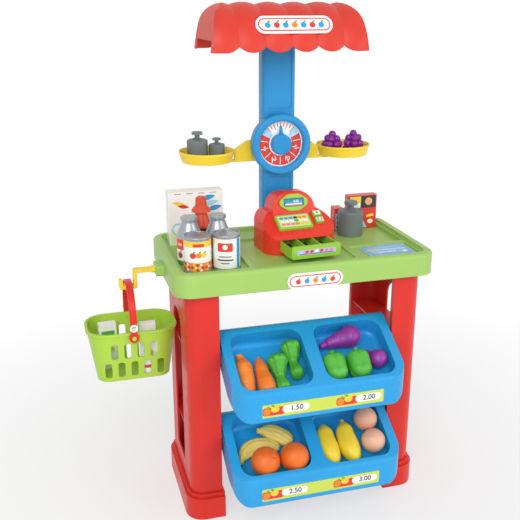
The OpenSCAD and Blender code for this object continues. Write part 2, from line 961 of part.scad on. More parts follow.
// One half of the column: back is -1 for the front half and 1 for the rear half
module column_half(back) {
    difference() {
        translate([0, column_place, column_foot])
            linear_extrude(column_head - column_foot)
                intersection() {
                    difference() {
                        column_plan(0);
                        column_plan(column_wall);
                    }
                    translate([-column_width / 2 - over, back > 0 ? 0 : -column_depth])
                        square([column_width + 2 * over, column_depth]);
                }
        translate([0, column_place, axle_height - beam_drop / 2 + beam_rise / 2])
            cube([column_width + 2 * over, beam_thick + 4 * slot_gap,
                beam_drop + beam_rise + 2 * slot_sweep], center = true);
    }
}

// Round hole for the axle, open along the whole column
module axle_bore() {
    translate([0, column_place, axle_height])
        rotate([90, 0, 0])
            cylinder(h = 4 * column_depth, d = axle_d + 2 * pin_fit, center = true);
}

// Sunken panel in the column's front between two heights
module front_panel(from, to) {
    translate([0, column_face, (from + to) / 2])
        along_y(2 * panel_depth)
            rounded_rect(column_width - 2 * panel_border, to - from, panel_border / 2);
}

module column_front() {
    color(blue)
        difference() {
            union() {
                column_half(-1);
                translate([0, column_face + panel_depth, axle_height])
                    rotate([90, 0, 0])
                        cylinder(h = dial_drum + panel_depth, r = dial_out - 1);
            }
            axle_bore();
            front_panel(column_foot + column_collar + panel_border, axle_height - dial_out - panel_border);
            front_panel(axle_height + dial_out + panel_border, column_head - sleeve_height - panel_border);
        }
}

module column_back() {
    color(blue)
        difference() {
            union() {
                column_half(1);
                translate([0, column_place + column_depth / 2 - column_wall / 2, axle_height])
                    rotate([90, 0, 0])
                        cylinder(h = bearing_boss + column_wall / 2, d = 2.4 * axle_d);
            }
            translate([0, axle_back + fit, axle_height])
                rotate([90, 0, 0])
                    cylinder(h = column_depth, d = axle_d + 2 * pin_fit);
        }
}

module dial_ring() {
    roll = dial_rim / 3;
    color(blue)
        translate([0, dial_back, axle_height])
            rotate([90, 0, 0])
                rotate_extrude()
                    difference() {
                        soft_outline([[dial_in, 0], [dial_out, 0], [dial_out, dial_ring_depth], [dial_in, dial_ring_depth]],
                            [0, 0, roll, roll]);
                        translate([dial_in - over, -over])
                            square([disc_rebate + fit + over, dial_disc + fit + over]);
                    }
}

module dial_face() {
    color("white")
        translate([0, dial_back, axle_height])
            rotate([90, 0, 0])
                difference() {
                    cylinder(h = dial_disc, r = dial_in + disc_rebate);
                    translate([0, 0, -over])
                        cylinder(h = dial_disc + 2 * over, d = axle_d + 2 * fit);
                }
}

// Radius of the arc that rises by the given height over the chord of one flute
function bow(rise) = (flute_chord * flute_chord / 4 + rise * rise) / (2 * rise);

// Fluted arch of the awning as a solid, drawn in by the inset
module fluted_arch(inset) {
    arch = awning_arch - inset;
    translate([0, awning_mid, awning_axis])
        rotate([0, 90, 0])
            rotate([0, 0, 90])
                rotate_extrude(angle = 180) {
                    translate([0, -awning_half])
                        square([arch, awning_length]);
                    for (i = [0 : flute_count - 1])
                        intersection() {
                            translate([0, i * flute_pitch - awning_half])
                                square([arch + flute_rise, flute_pitch]);
                            translate([arch + flute_rise - bow(flute_rise), (i + 0.5) * flute_pitch - awning_half])
                                circle(bow(flute_rise));
                        }
                }
}

// Front outline of the awning above the line between its scallops
module awning_front(inset, foot_level) {
    half = awning_half - inset;
    top = awning_top - inset;
    end = awning_end - inset;
    low = awning_axis - 2 * over;
    intersection() {
        soft_outline([[-half, low], [half, low], [half - awning_draft, top], [awning_draft - half, top]],
            [0, 0, end, end]);
        translate([-awning_length, foot_level])
            square([2 * awning_length, 2 * awning_arch]);
    }
}

// Gaps between the scallops of a hem, seen from the front
module scallop_gaps() {
    for (i = [1 : flute_count - 1])
        translate([i * flute_pitch - awning_half, awning_axis])
            difference() {
                translate([-flute_pitch / 2, -over])
                    square([flute_pitch, scallop_drop + 2 * over]);
                for (s = [-1, 1])
                    translate([s * flute_pitch / 2, bow(scallop_drop)])
                        circle(bow(scallop_drop));
            }
}

module awning_outer() {
    intersection() {
        fluted_arch(0);
        translate([0, awning_mid, 0])
            along_y(4 * awning_arch)
                difference() {
                    awning_front(0, awning_axis - 2 * over);
                    scallop_gaps();
                }
    }
}

module awning_inner() {
    intersection() {
        union() {
            fluted_arch(awning_wall);
            translate([-awning_half, awning_mid - awning_arch + awning_wall, awning_axis - over])
                cube([awning_length, 2 * (awning_arch - awning_wall), 2 * over]);
        }
        translate([0, awning_mid, 0])
            along_y(4 * awning_arch)
                awning_front(awning_wall, awning_axis - 2 * over);
    }
}

// Upright web under the awning's roof, square to the awning's length
module awning_web(x, from) {
    translate([x - awning_wall / 2, column_face - fit - awning_wall, from])
        cube([awning_wall, column_depth + 2 * (fit + awning_wall), awning_top - from]);
}

// Sleeve for the column's head: two side webs, two shorter webs that stand on the head and two cross walls
module awning_sleeve() {
    side = column_width / 2 + fit + awning_wall / 2;
    intersection() {
        fluted_arch(awning_wall / 2);
        for (s = [-1, 1]) {
            awning_web(s * side, column_head - sleeve_height);
            awning_web(s * column_width / 4, column_head);
        }
    }
    for (y = [column_face - fit - awning_wall, column_face + column_depth + fit])
        translate([-side, y, column_head - sleeve_height])
            cube([2 * side, awning_wall, sleeve_height + awning_wall]);
}

module awning() {
    flap = awning_arch - flap_width;
    color(awning_red)
        union() {
            difference() {
                awning_outer();
                awning_inner();
                translate([-awning_half - over, awning_mid - flap, awning_axis - over])
                    cube([awning_length + 2 * over, 2 * flap, end_opening + over]);
            }
            awning_sleeve();
        }
}

// Half outline of the beam, from its middle to one pan
module beam_arm() {
    polygon([[0, beam_rise], [beam_peak, beam_rise / 2], [arm_end, -beam_drop / 3], [arm_end, -beam_drop],
        [0, -beam_drop]]);
    translate([arm_end - over, -beam_drop])
        square([pan_place - arm_end + over, tongue_thick]);
}

module scale_beam() {
    color(yellow)
        translate([0, column_place, axle_height])
            difference() {
                union() {
                    along_y(beam_thick) {
                        beam_arm();
                        mirror([1, 0])
                            beam_arm();
                    }
                    rotate([90, 0, 0])
                        cylinder(h = 2 * hub_half, d = 4 * axle_d, center = true);
                    for (s = [-1, 1])
                        translate([s * pan_place, 0, -beam_drop])
                            cylinder(h = tongue_thick, d = pan_seat_d);
                }
                rotate([90, 0, 0])
                    cylinder(h = 4 * hub_half, d = axle_d + press_gap, center = true);
            }
}

module scale_axle() {
    color("silver")
        translate([0, axle_back, axle_height])
            rotate([90, 0, 0])
                cylinder(h = axle_back - axle_front, d = axle_d);
}

module dial_pointer() {
    depth = disc_face - fit - axle_front;
    color(blue)
        translate([0, disc_face - fit, axle_height])
            rotate([90, 0, 0])
                difference() {
                    union() {
                        rotate_extrude()
                            slab_edge(pointer_hub / 2, depth + hub_cover, hub_cover);
                        linear_extrude(depth / 2)
                            polygon([[-pointer_hub / 5, 0], [pointer_hub / 5, 0], [0.8, pointer_length],
                                [-0.8, pointer_length]]);
                    }
                    translate([0, 0, -over])
                        cylinder(h = depth + over, d = axle_d + press_gap);
                }
}

module pan() {
    color(yellow)
        difference() {
            union() {
                rotate_extrude()
                    polygon([[0, 0], [pan_foot, 0], [pan_out - pan_wall / 2, pan_depth - 2 * pan_wall],
                        [pan_out, pan_depth - 2 * pan_wall], [pan_out, pan_depth], [pan_out - pan_wall, pan_depth],
                        [pan_foot - pan_wall, pan_wall], [0, pan_wall]]);
                translate([0, 0, -tongue_thick / 2])
                    rotate_extrude()
                        translate([pan_seat_d / 2 + fit, 0])
                            square([pan_wall, tongue_thick / 2 + pan_wall / 2]);
            }
            translate([-pan_d, -beam_thick / 2 - fit, -tongue_thick])
                cube([pan_d, beam_thick + 2 * fit, tongue_thick]);
        }
}

module right_pan() translate([pan_place, column_place, pan_level]) pan();
module left_pan() mirror([1, 0, 0]) right_pan();

// Knobbed weight with the body diameter d, standing on its foot
module weight(d) {
    body = d * weight_body;
    neck = d * weight_neck;
    cone = d * weight_cone + over;
    color(weight_grey)
        rotate_extrude() {
            slab_edge(d / 2, body, d / 12);
            translate([0, body - over])
                square([neck, d * (knob_place + knob_height / 2) + over]);
            translate([0, body - over])
                polygon([[0, 0], [3 * neck, 0], [3 * neck, over], [neck * 0.9, cone], [0, cone]]);
            translate([0, body + d * knob_place])
                slab_edge(d * weight_knob, d * knob_height, d / 20);
        }
}

// Places on the floor of a pan: side is -1 for the left pan and 1 for the right one
module on_pan(side) {
    translate([side * pan_place, column_place, pan_level + pan_wall + rest_gap])
        children();
}

module medium_weight() on_pan(-1) translate([-weight_step + goods_gap, goods_gap, 0]) weight(medium_weight_d);
module small_weight() on_pan(-1) translate([weight_step, -4 * goods_gap, 0]) weight(small_weight_d);

// One grape, turned by its own angle
module grape(turn) {
    rotate([70 + 31 * turn, 25 + 17 * turn, 0])
        sphere(d = grape_d);
}

// Bunch of grapes round a stalk: two rings, a smaller ring above them and one on top
module grapes() {
    ring = grape_d * grape_ring;
    layer = ring * grape_layer;
    color("#8a2f9c")
        translate([0, 0, grape_d / 2]) {
            cylinder(h = 2 * layer, r = ring * grape_stalk);
            for (a = [0 : 60 : 300]) {
                rotate(a)
                    translate([ring, 0, 0])
                        grape(1);
                rotate(a + 31)
                    translate([ring, 0, layer])
                        grape(2);
            }
            for (a = [36 : 90 : 306])
                rotate(a)
                    translate([ring * 0.68, 0, 2 * layer])
                        grape(3);
            translate([ring / 24, ring / 15, 2.8 * layer])
                grape(4);
        }
}

module left_grapes() on_pan(1) translate([-grape_step, goods_gap, 0]) rotate(15) grapes();
module right_grapes() on_pan(1) translate([grape_step, -goods_gap, 0]) rotate(45) grapes();

// Places in the register's own frame
module on_till() {
    translate([till_shift, till_place, flat_floor])
        rotate(till_turn)
            children();
}

// Places on the register's sloping deck, with +Z standing out of it
module on_till_deck(x, up) {
    translate([x, till_edge - till_back, till_front])
        rotate([deck_angle, 0, 0])
            translate([0, up, 0])
                children();
}

// Places on the hood's leaning front, with +Z standing out of it
module on_hood(up) {
    translate([0, hood_front, till_shoulder])
        rotate([90 - hood_lean, 0, 0])
            translate([0, up, 0])
                children();
}

module register_form() {
    intersection() {
        along_x(till_width)
            soft_outline([[-till_back, 0], [till_back, 0], [till_back, till_shoulder],
                [deck_top_y, till_shoulder], [till_edge - till_back, till_front],
                [-till_back, till_front - till_edge]],
                [0, 0, till_edge, till_edge, till_edge, till_edge / 2]);
        translate([0, 0, -over])
            linear_extrude(2 * till_height)
                rounded_rect(till_width, till_depth, till_corner);
        along_y(till_depth + over)
            soft_outline([[-till_width / 2, -till_edge], [till_width / 2, -till_edge],
                [till_width / 2, till_shoulder + over], [-till_width / 2, till_shoulder + over]],
                [0, 0, till_corner, till_corner]);
    }
    hood_foot = hood_front - (till_shoulder - till_front) * tan(hood_lean);
    intersection() {
        along_x(hood_width)
            soft_outline([[hood_foot, till_front], [till_back - till_edge, till_front],
                [till_back - till_edge, till_height],
                [hood_front + (till_height - till_shoulder) * tan(hood_lean), till_height]],
                [0, 0, 2 * till_edge, till_edge]);
        along_y(2 * till_depth)
            soft_outline([[-hood_width / 2, till_front], [hood_width / 2, till_front],
                [hood_width / 2 - till_edge, till_height], [till_edge - hood_width / 2, till_height]],
                [0, 0, hood_crown, hood_crown]);
    }
}

module key_well(x, up) {
    on_till_deck(x, up)
        translate([0, 0, -key_sunk - key_travel - fit])
            linear_extrude(key_sunk + key_travel + till_edge)
                rounded_rect(key_width + 2 * fit, key_length + 2 * fit, key_corner + fit);
}

module register_shell() {
    color(red)
        on_till()
            difference() {
                register_form();
                translate([-drawer_width / 2 - fit, -till_back - over, till_base])
                    cube([drawer_width + 2 * fit, drawer_length + 2 * over, drawer_height + 2 * fit]);
                translate([0, 0, -over])
                    linear_extrude(till_base + over)
                        base_plan(plate_inset - fit);
                key_well(key_place, upper_key_up);
                key_well(key_place, lower_key_up);
            }
}

// Plan of the register's base with an inset from the register's outline
module base_plan(inset) {
    rounded_rect(till_width - 2 * inset, till_depth - 2 * inset, till_corner - inset);
}

module register_base() {
    color("#b02a22")
        on_till()
            difference() {
                linear_extrude(till_base)
                    base_plan(plate_inset);
                translate([0, 0, -over])
                    linear_extrude(till_base - till_plate + over)
                        base_plan(plate_inset + till_plate);
            }
}

// Oval with flattened sides, centred
module oval(w, h) {
    side = h / 4;
    crown = h * 0.49;
    soft_outline([[w / 2, -h / 6], [w / 2, h / 6], [w / 5, h / 2], [-w / 5, h / 2],
        [-w / 2, h / 6], [-w / 2, -h / 6], [-w / 5, -h / 2], [w / 5, -h / 2]],
        [side, side, crown, crown, side, side, crown, crown]);
}

module display_bezel() {
    color(green)
        on_till()
            on_hood(bezel_up)
                linear_extrude(bezel_thick)
                    difference() {
                        oval(bezel_width, bezel_height);
                        rounded_rect(screen_width + 2 * fit, screen_height + 2 * fit, screen_corner + fit);
                    }
}

module display_screen() {
    color("#3aa0e0")
        on_till()
            on_hood(bezel_up)
                linear_extrude(bezel_thick - screen_sink)
                    rounded_rect(screen_width, screen_height, screen_corner);
}

module keypad() {
    color(green)
        on_till()
            on_till_deck(keypad_place, keypad_up)
                soft_slab(keypad_width, keypad_length, key_proud, keypad_corner, keypad_round);
}

module till_key(up) {
    on_till()
        on_till_deck(key_place, up)
            translate([0, 0, -key_sunk])
                soft_slab(key_width, key_length, key_sunk + key_proud, key_corner, key_round);
}

module upper_key() color("white") till_key(upper_key_up);
module lower_key() color("white") till_key(lower_key_up);

module cash_drawer() {
    well_pitch = (drawer_width - drawer_wall) / drawer_wells;
    color(green)
        on_till()
            translate([0, -till_back - drawer_open, drawer_floor]) {
                difference() {
                    translate([-drawer_width / 2, 0, 0])
                        cube([drawer_width, drawer_length, drawer_height]);
                    for (i = [0 : drawer_wells - 1])
                        translate([(i - (drawer_wells - 1) / 2) * well_pitch, drawer_length / 2, drawer_wall])
                            linear_extrude(drawer_height)
                                rounded_rect(well_pitch - drawer_wall, drawer_length - 2 * drawer_wall, drawer_corner);
                }
                translate([0, -drawer_front / 2, drawer_panel / 2])
                    along_y(drawer_front)
                        rounded_rect(drawer_width, drawer_panel, drawer_corner);
            }
}

// Places in the basket's own frame, in the middle of its floor
module at_basket() {
    translate([-basket_mid, hook_place, basket_floor])
        children();
}

// Tapering solid form of the tub, drawn in by the inset and standing at a height above its floor
module tub_form(inset, from) {
    top = basket_corner - inset;
    translate([0, 0, from])
        swept_slab(basket_length / 2 - basket_corner, basket_width / 2 - basket_corner, basket_height)
            polygon([[0, 0], [top - basket_taper, 0], [top, basket_height], [0, basket_height]]);
}

// A row of upright slots through two facing walls
module slot_row(count, pitch, width, low, height) {
    for (i = [0 : count - 1])
        translate([(i - (count - 1) / 2) * pitch, 0, low + height / 2])
            along_y(2 * basket_length)
                rounded_rect(width, height, width / 3);
}

module basket_tub() {
    color(basket_green)
        at_basket()
            union() {
                difference() {
                    tub_form(0, 0);
                    tub_form(basket_wall, basket_wall);
                    slot_row(5, slot_pitch, slot_width, slot_low, slot_height);
                    slot_row(4, slot_pitch, slot_width, slot_low + slot_height + slot_bar, slot_height);
                    rotate(90) {
                        slot_row(2, slot_pitch, slot_width, slot_low, slot_height);
                        slot_row(1, slot_pitch, 2.2 * slot_width, basket_height - 2 * slot_bar - slot_width,
                            slot_width);
                    }
                }
                translate([0, 0, basket_height - 2 * basket_wall])
                    linear_extrude(2 * basket_wall)
                        difference() {
                            rounded_rect(basket_length + 2 * rim_lip, basket_width + 2 * rim_lip,
                                basket_corner + rim_lip);
                            rounded_rect(basket_length - 2 * basket_wall, basket_width - 2 * basket_wall,
                                basket_corner - basket_wall);
                        }
                for (s = [-1, 1])
                    translate([0, s * (basket_width / 2 - basket_wall - pin_root), basket_height - pivot_drop])
                        rotate([-90 * s, 0, 0])
                            cylinder(h = strap_inner + strap_thick + pin_head - basket_width / 2 + basket_wall + pin_root,
                                d = pivot_d);
            }
}

module basket_handle() {
    arch = strap_inner + strap_thick / 2;
    eye = pivot_d + 2 * eye_margin;
    straight = handle_rise - arch - strap_thick / 2;
    color(red)
        translate([-basket_mid, hook_place, pivot_level])
            difference() {
                union() {
                    along_x(strap_width) {
                        translate([0, straight])
                            difference() {
                                circle(arch + strap_thick / 2);
                                circle(arch - strap_thick / 2);
                                translate([-2 * arch, -4 * arch])
                                    square([4 * arch, 4 * arch]);
                            }
                        for (s = [-1, 1])
                            translate([s * arch - strap_thick / 2, 0])
                                square([strap_thick, straight]);
                    }
                    for (s = [-1, 1])
                        translate([0, s * arch, 0])
                            rotate([90, 0, 0])
                                cylinder(h = strap_thick, d = eye, center = true);
                }
                rotate([90, 0, 0])
                    cylinder(h = 4 * arch, d = pivot_d + 2 * pin_fit, center = true);
            }
}

// Upright carton with a folded top edge
module carton(width, depth, height) {
    linear_extrude(height)
        rounded_rect(width, depth, board_fold);
}

module basket_carton() {
    color("ivory")
        at_basket()
            translate([strap_width / 2 + 6 * goods_gap + basket_carton_width / 2,
                -socket_width / 2 - goods_gap - basket_carton_depth / 2, basket_wall + rest_gap])
                carton(basket_carton_width, basket_carton_depth, basket_carton_height);
}

module basket_packet() {
    color("khaki")
        at_basket()
            translate([-hook_trough / 2 - hook_thick - 8 * goods_gap - basket_packet_width / 2,
                hook_width / 2 + 4 * goods_gap + basket_packet_depth / 2, basket_wall + rest_gap])
                rotate(packet_turn)
                    carton(basket_packet_width, basket_packet_depth, basket_packet_height);
}

// Places in the left-hand goods bay, measured from the bay's middle
module in_left_bay(x, y) {
    translate([-side_bay_mid + x, counter_setback + y, goods_floor + rest_gap])
        children();
}

// Places in the right-hand goods bay, measured from the bay's middle
module in_right_bay(x, y) {
    translate([side_bay_mid + x, counter_setback + back_bay_mid + y, goods_floor + rest_gap])
        children();
}

module can() {
    bead = 1.2;
    r = can_d / 2;
    rotate_extrude() {
        square([r - bead, can_height - bead]);
        for (z = [0, can_height - 3 * bead])
            translate([0, z])
                soft_outline([[0, 0], [r, 0], [r, 3 * bead], [r - 2 * bead, 3 * bead], [r - 2 * bead, 2 * bead],
                    [0, 2 * bead]], [0, bead, bead, 0, 0, 0]);
    }
}

module left_can() color("gold") in_left_bay(can_shift - can_step / 2, can_row) can();
module right_can() color("white") in_left_bay(can_shift + can_step / 2, can_row) can();

module churn() {
    r = churn_d / 2;
    neck = r * churn_neck;
    lip = neck + 2 * edge_break;
    shoulder = churn_height * churn_shoulder;
    lid = churn_height - churn_lid;
    rotate_extrude()
        polygon([[0, 0], [r - edge_break, 0], [r, edge_break], [r, shoulder],
            [r - edge_break, shoulder + 3 * edge_break], [neck, lid - 3 * edge_break], [neck, lid], [lip, lid + edge_break], [lip, churn_height - edge_break],
            [lip - edge_break, churn_height], [0, churn_height]]);
}

module left_churn() color("silver") in_left_bay(churn_shift - can_step / 2, churn_row) churn();
module right_churn() color("silver") in_left_bay(churn_shift + can_step / 2, churn_row) churn();

module sauce_bottle() {
    r = bottle_d / 2;
    neck = r * bottle_neck;
    shoulder = bottle_height * bottle_shoulder;
    cap = bottle_height * bottle_cap;
    color("#d8532c")
        in_left_bay(0, churn_row + churn_d / 2 + r + bottle_place)
            rotate_extrude()
                polygon([[0, 0], [r - edge_break, 0], [r, edge_break], [r, shoulder], [neck, cap - 3 * edge_break],
                    [neck, cap], [r, cap], [r - edge_break, cap + 4 * edge_break], [neck, cap + 10 * edge_break],
                    [neck - edge_break, bottle_height - 2 * edge_break], [neck - 3 * edge_break, bottle_height],
                    [0, bottle_height]]);
}

module milk_carton() {
    color("white")
        in_left_bay(0, -bay_front - carton_depth / 2 - 4 * goods_gap)
            carton(carton_width, carton_depth, carton_height);
}

module large_weight() in_right_bay(-side_bay_width / 8, weight_row) weight(large_weight_d);

module tall_box() {
    color("crimson")
        in_right_bay(side_bay_width / 2 - tall_box_width / 2 - 2 * goods_gap, box_row)
            carton(tall_box_width, tall_box_depth, tall_box_height);
}

module small_box() {
    color("steelblue")
        in_right_bay(small_box_width / 2 + small_box_place - side_bay_width / 2,
            back_bay_length / 2 - small_box_depth / 2 - 2 * goods_gap)
            carton(small_box_width, small_box_depth, small_box_height);
}

module pay_card() {
    color("#8fc4ec")
        translate([side_bay_mid + card_shift, counter_setback + card_bay_mid + card_shift / 3,
            flat_floor + rest_gap])
            rotate(card_turn)
                linear_extrude(card_thick)
                    rounded_rect(card_width, card_depth, card_corner);
}

// Places on the floor of a bin's pockets: x across, s up the slope, lift above the floor
module in_bin(bin_height, x, s, lift) {
    translate([0, bin_face, bin_height])
        rotate([bin_slope, 0, 0])
            translate([x, s, pocket_floor + lift])
                children();
}

// Carrot with its crown and a stub of greens up the slope
module left_carrot() {
    r = carrot_d / 2;
    low = r * carrot_stump;
    span = carrot_length - r - low;
    color("#f08a24")
        in_bin(upper_bin_height, carrot_first, first_row + 2 * goods_gap + low + span, r) {
            rotate(180)
                lying_drop(r, low, span);
            rotate([-90, 0, 0])
                cylinder(h = r + carrot_stub, r = r * 0.4);
        }
}

// Carrot with its tip up the slope
module right_carrot() {
    r = carrot_d / 2;
    tip = r / 2;
    span = carrot_length - r - tip;
    color("#f08a24")
        in_bin(upper_bin_height, carrot_first + carrot_d + goods_gap, first_row + r, r)
            rotate([-90 - asin((r - tip) / span), 0, 0]) {
                drop(r, tip, span);
                translate([0, 0, span])
                    cylinder(h = tip + carrot_stub, r1 = tip * 0.6, r2 = tip * 0.3);
            }
}

// Head of leafy greens, with its stalk end first up the slope
module greens(x, shift) {
    head = greens_d / 2;
    waist = greens_d / 4;
    stalk = greens_d / 3;
    span = greens_length - head - stalk;
    color("#3fa535")
        in_bin(upper_bin_height, x, first_row + stalk + shift, 0) {
            translate([0, 0, stalk])
                lying_drop(stalk, waist, span * greens_low);
            translate([0, span, head])
                rotate(180)
                    lying_drop(head, waist * greens_waist, span * greens_high);
        }
}

module left_greens() greens(greens_place - greens_step, 0);
module right_greens() greens(greens_place, greens_stagger);

module eggplant() {
    r = eggplant_d / 2;
    color("#8b2d8f")
        in_bin(upper_bin_height, pocket_mid + eggplant_shift, pocket_end - goods_gap - r, r)
            rotate(90)
                lying_drop(r, r / 2, eggplant_span);
}

module pepper(x) {
    lobe = pepper_d * pepper_lobe;
    toe = lobe * pepper_toe;
    out = (pepper_d / 2 - lobe) / cos(45);
    span = pepper_height - lobe - toe;
    color("#39a935")
        in_bin(upper_bin_height, x, first_row + 4 * goods_gap + toe, pepper_d / 2)
            rotate([-90, 0, 0]) {
                for (a = [45 : 90 : 315])
                    rotate(a)
                        translate([out, 0, span])
                            rotate([180, 0, 0])
                                drop(lobe, toe, span);
                cylinder(h = span + lobe + pepper_stalk, r = pepper_d / 13);
            }
}

module left_pepper() pepper(pepper_first);
module right_pepper() pepper(pepper_first + pepper_d + goods_gap);

module onion() {
    r = onion_d / 2;
    color("#9a3f9e")
        in_bin(upper_bin_height, pocket_out - goods_gap - r, first_row + r + onion_place, r)
            rotate([-90, 0, onion_turn])
                drop(r, r / 4, r * onion_neck);
}

// Round fruit with a dimple at its crown
module round_fruit(d) {
    difference() {
        sphere(d = d);
        translate([0, 0, d * 0.56])
            sphere(d / 9);
    }
}

module orange(x) {
    color("#f47b20")
        in_bin(lower_bin_height, x, first_row + orange_d / 2, orange_d / 2)
            round_fruit(orange_d);
}

module left_orange() orange(orange_first - orange_d - goods_gap);
module right_orange() orange(orange_first);

// Banana bent round the origin from one angle to another, with tapering ends
module banana(bend, from, to) {
    r = banana_d / 2;
    rotate(from) {
        rotate_extrude(angle = to - from)
            translate([bend, 0])
                circle(r);
        translate([bend, over, 0])
            rotate([90, 0, 0])
                cylinder(h = r + over, r1 = r * banana_root, r2 = r * banana_tip);
        rotate(to - from)
            translate([bend, -over, 0])
                rotate([-90, 0, 0])
                    cylinder(h = r + over, r1 = r * banana_root, r2 = r * banana_tip);
    }
}

// Places where a bunch bends round the left-hand orange
module round_orange() {
    color("#f6d743")
        in_bin(lower_bin_height, orange_first - orange_d - goods_gap, first_row + orange_d / 2, banana_d / 2)
            children();
}

module front_bananas() {
    round_orange() {
        banana(banana_bend, banana_start, banana_stalk_end);
        banana(banana_bend + banana_step, banana_start, banana_end);
    }
}

module back_bananas() {
    round_orange() {
        banana(back_bend, back_start, back_end);
        banana(back_bend + banana_step, back_start, back_end - 4);
    }
}

module mango(x) {
    r = mango_d / 2;
    upper = mango_length * mango_share;
    lower = mango_length - upper;
    color("#f7c92e")
        in_bin(lower_bin_height, x, first_row + lower, r) {
            rotate([-90, 0, 0])
                drop(r, r / 2, upper - r / 2);
            rotate([90, 0, 0])
                drop(r, r * 0.65, lower - r * 0.65);
        }
}

module left_mango() mango(mango_first);
module right_mango() mango(mango_first + mango_d + goods_gap);

module peach(s) {
    color("#f5b999")
        in_bin(lower_bin_height, pocket_out - goods_gap - peach_d / 2, s, peach_d / 2)
            round_fruit(peach_d);
}

module front_peach() peach(peach_row);
module back_peach() peach(peach_row + peach_d + goods_gap);

left_foot();
right_foot();
left_leg();
right_leg();
counter();
upper_tray();
lower_tray();
hook();
column_front();
column_back();
dial_ring();
dial_face();
awning();
scale_beam();
scale_axle();
dial_pointer();
left_pan();
right_pan();
small_weight();
medium_weight();
large_weight();
left_grapes();
right_grapes();
register_shell();
register_base();
display_bezel();
display_screen();
keypad();
upper_key();
lower_key();
cash_drawer();
basket_handle();
basket_tub();
basket_carton();
basket_packet();
left_can();
right_can();
left_churn();
right_churn();
sauce_bottle();
milk_carton();
tall_box();
small_box();
pay_card();
left_carrot();
right_carrot();
left_greens();
right_greens();
eggplant();
left_pepper();
right_pepper();
onion();
front_bananas();
back_bananas();
left_orange();
right_orange();
left_mango();
right_mango();
back_peach();
front_peach();
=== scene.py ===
"""Looks of the toy market stall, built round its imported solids."""
import json
import math

import bmesh
import bpy
from bpy.props import FloatProperty, FloatVectorProperty, PointerProperty
from mathutils import Matrix, Vector


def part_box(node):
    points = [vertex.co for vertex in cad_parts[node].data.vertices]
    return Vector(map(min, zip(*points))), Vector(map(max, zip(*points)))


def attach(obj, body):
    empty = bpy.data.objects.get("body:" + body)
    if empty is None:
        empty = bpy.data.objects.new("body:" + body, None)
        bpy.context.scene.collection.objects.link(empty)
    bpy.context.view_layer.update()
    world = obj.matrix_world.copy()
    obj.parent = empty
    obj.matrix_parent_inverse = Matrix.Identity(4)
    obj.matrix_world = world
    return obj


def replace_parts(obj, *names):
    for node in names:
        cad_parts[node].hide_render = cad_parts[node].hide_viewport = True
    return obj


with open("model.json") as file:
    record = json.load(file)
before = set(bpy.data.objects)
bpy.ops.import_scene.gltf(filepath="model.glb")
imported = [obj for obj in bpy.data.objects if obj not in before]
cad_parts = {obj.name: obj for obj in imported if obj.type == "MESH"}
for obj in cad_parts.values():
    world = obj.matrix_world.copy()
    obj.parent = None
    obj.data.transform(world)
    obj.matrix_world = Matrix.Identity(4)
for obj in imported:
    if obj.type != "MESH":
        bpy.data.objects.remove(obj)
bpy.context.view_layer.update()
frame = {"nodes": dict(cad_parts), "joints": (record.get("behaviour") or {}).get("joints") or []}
JOINTS = {joint["name"]: joint for joint in frame["joints"]}

bl_info = {
    "name": "Toy market stall looks",
    "version": (1, 0, 0),
    "blender": (4, 5, 0),
    "location": "View3D > Sidebar > Stall",
    "description": "Dresses the toy market stall with moulded plastic, printed signs, play food and a studio",
    "category": "Object",
}

MM = 0.001
UP = Vector((0.0, 0.0, 1.0))
RIGHT = Vector((1.0, 0.0, 0.0))
FRONT = Vector((0.0, -1.0, 0.0))
# Up the slope of a bin, in the frame of a good that lies in it
UPHILL = Vector((0.0, 1.0, 0.0))
PURE_WHITE = (1.0, 1.0, 1.0, 1.0)

# Signs sit this far right of the middle, and the counter's one at this share of its height
SIGN_SHIFT = 4 * MM
SKIRT_SHARE = 0.284
# Gaps between a print and what it lies on
STRIP_GAP = 0.05 * MM
DIAL_GAP = 0.02 * MM
LABEL_GAP = 0.05 * MM
# Points this near a plane count as lying in it
FLAT_WITHIN = 0.05 * MM
# Sides of a label that lies right round, and steps of a sign's round corner
BELT_SIDES = 64
PILL_STEPS = 10
# Share of their height by which printed figures are thickened
BOLD = 0.022
# Turn of the onion's neck to the left
ONION_TURN = math.radians(40)
# Depth of a relief at full strength, and rays that look for an edge to soften
RELIEF_DEPTH = 0.5 * MM
EDGE_SAMPLES = 4


def paint(code):
    """Linear red, green and blue of a colour written as six hex digits."""
    values = [int(code[i:i + 2], 16) / 255 for i in (0, 2, 4)]
    return tuple(v / 12.92 if v <= 0.04045 else ((v + 0.055) / 1.055) ** 2.4 for v in values)


def colour_setting(label, code):
    """A colour property with a plain name and its default."""
    return FloatVectorProperty(name=label, description=f"{label} before light and wear", subtype="COLOR",
                               size=3, min=0.0, max=1.0, default=paint(code))


def length_setting(label, description, size):
    """A length property in metres, given in millimetres."""
    return FloatProperty(name=label, description=description, unit="LENGTH", min=0.0, default=size * MM)


def level_setting(label, description, value):
    """A plain number that isn't negative."""
    return FloatProperty(name=label, description=description, min=0.0, default=value)


def angle_setting(label, description, degrees):
    """An angle property, given in degrees."""
    return FloatProperty(name=label, description=description, subtype="ANGLE", default=math.radians(degrees))


def place_setting(label, description, place):
    """A place property in metres."""
    return FloatVectorProperty(name=label, description=description, subtype="TRANSLATION", unit="LENGTH",
                               size=3, default=place)


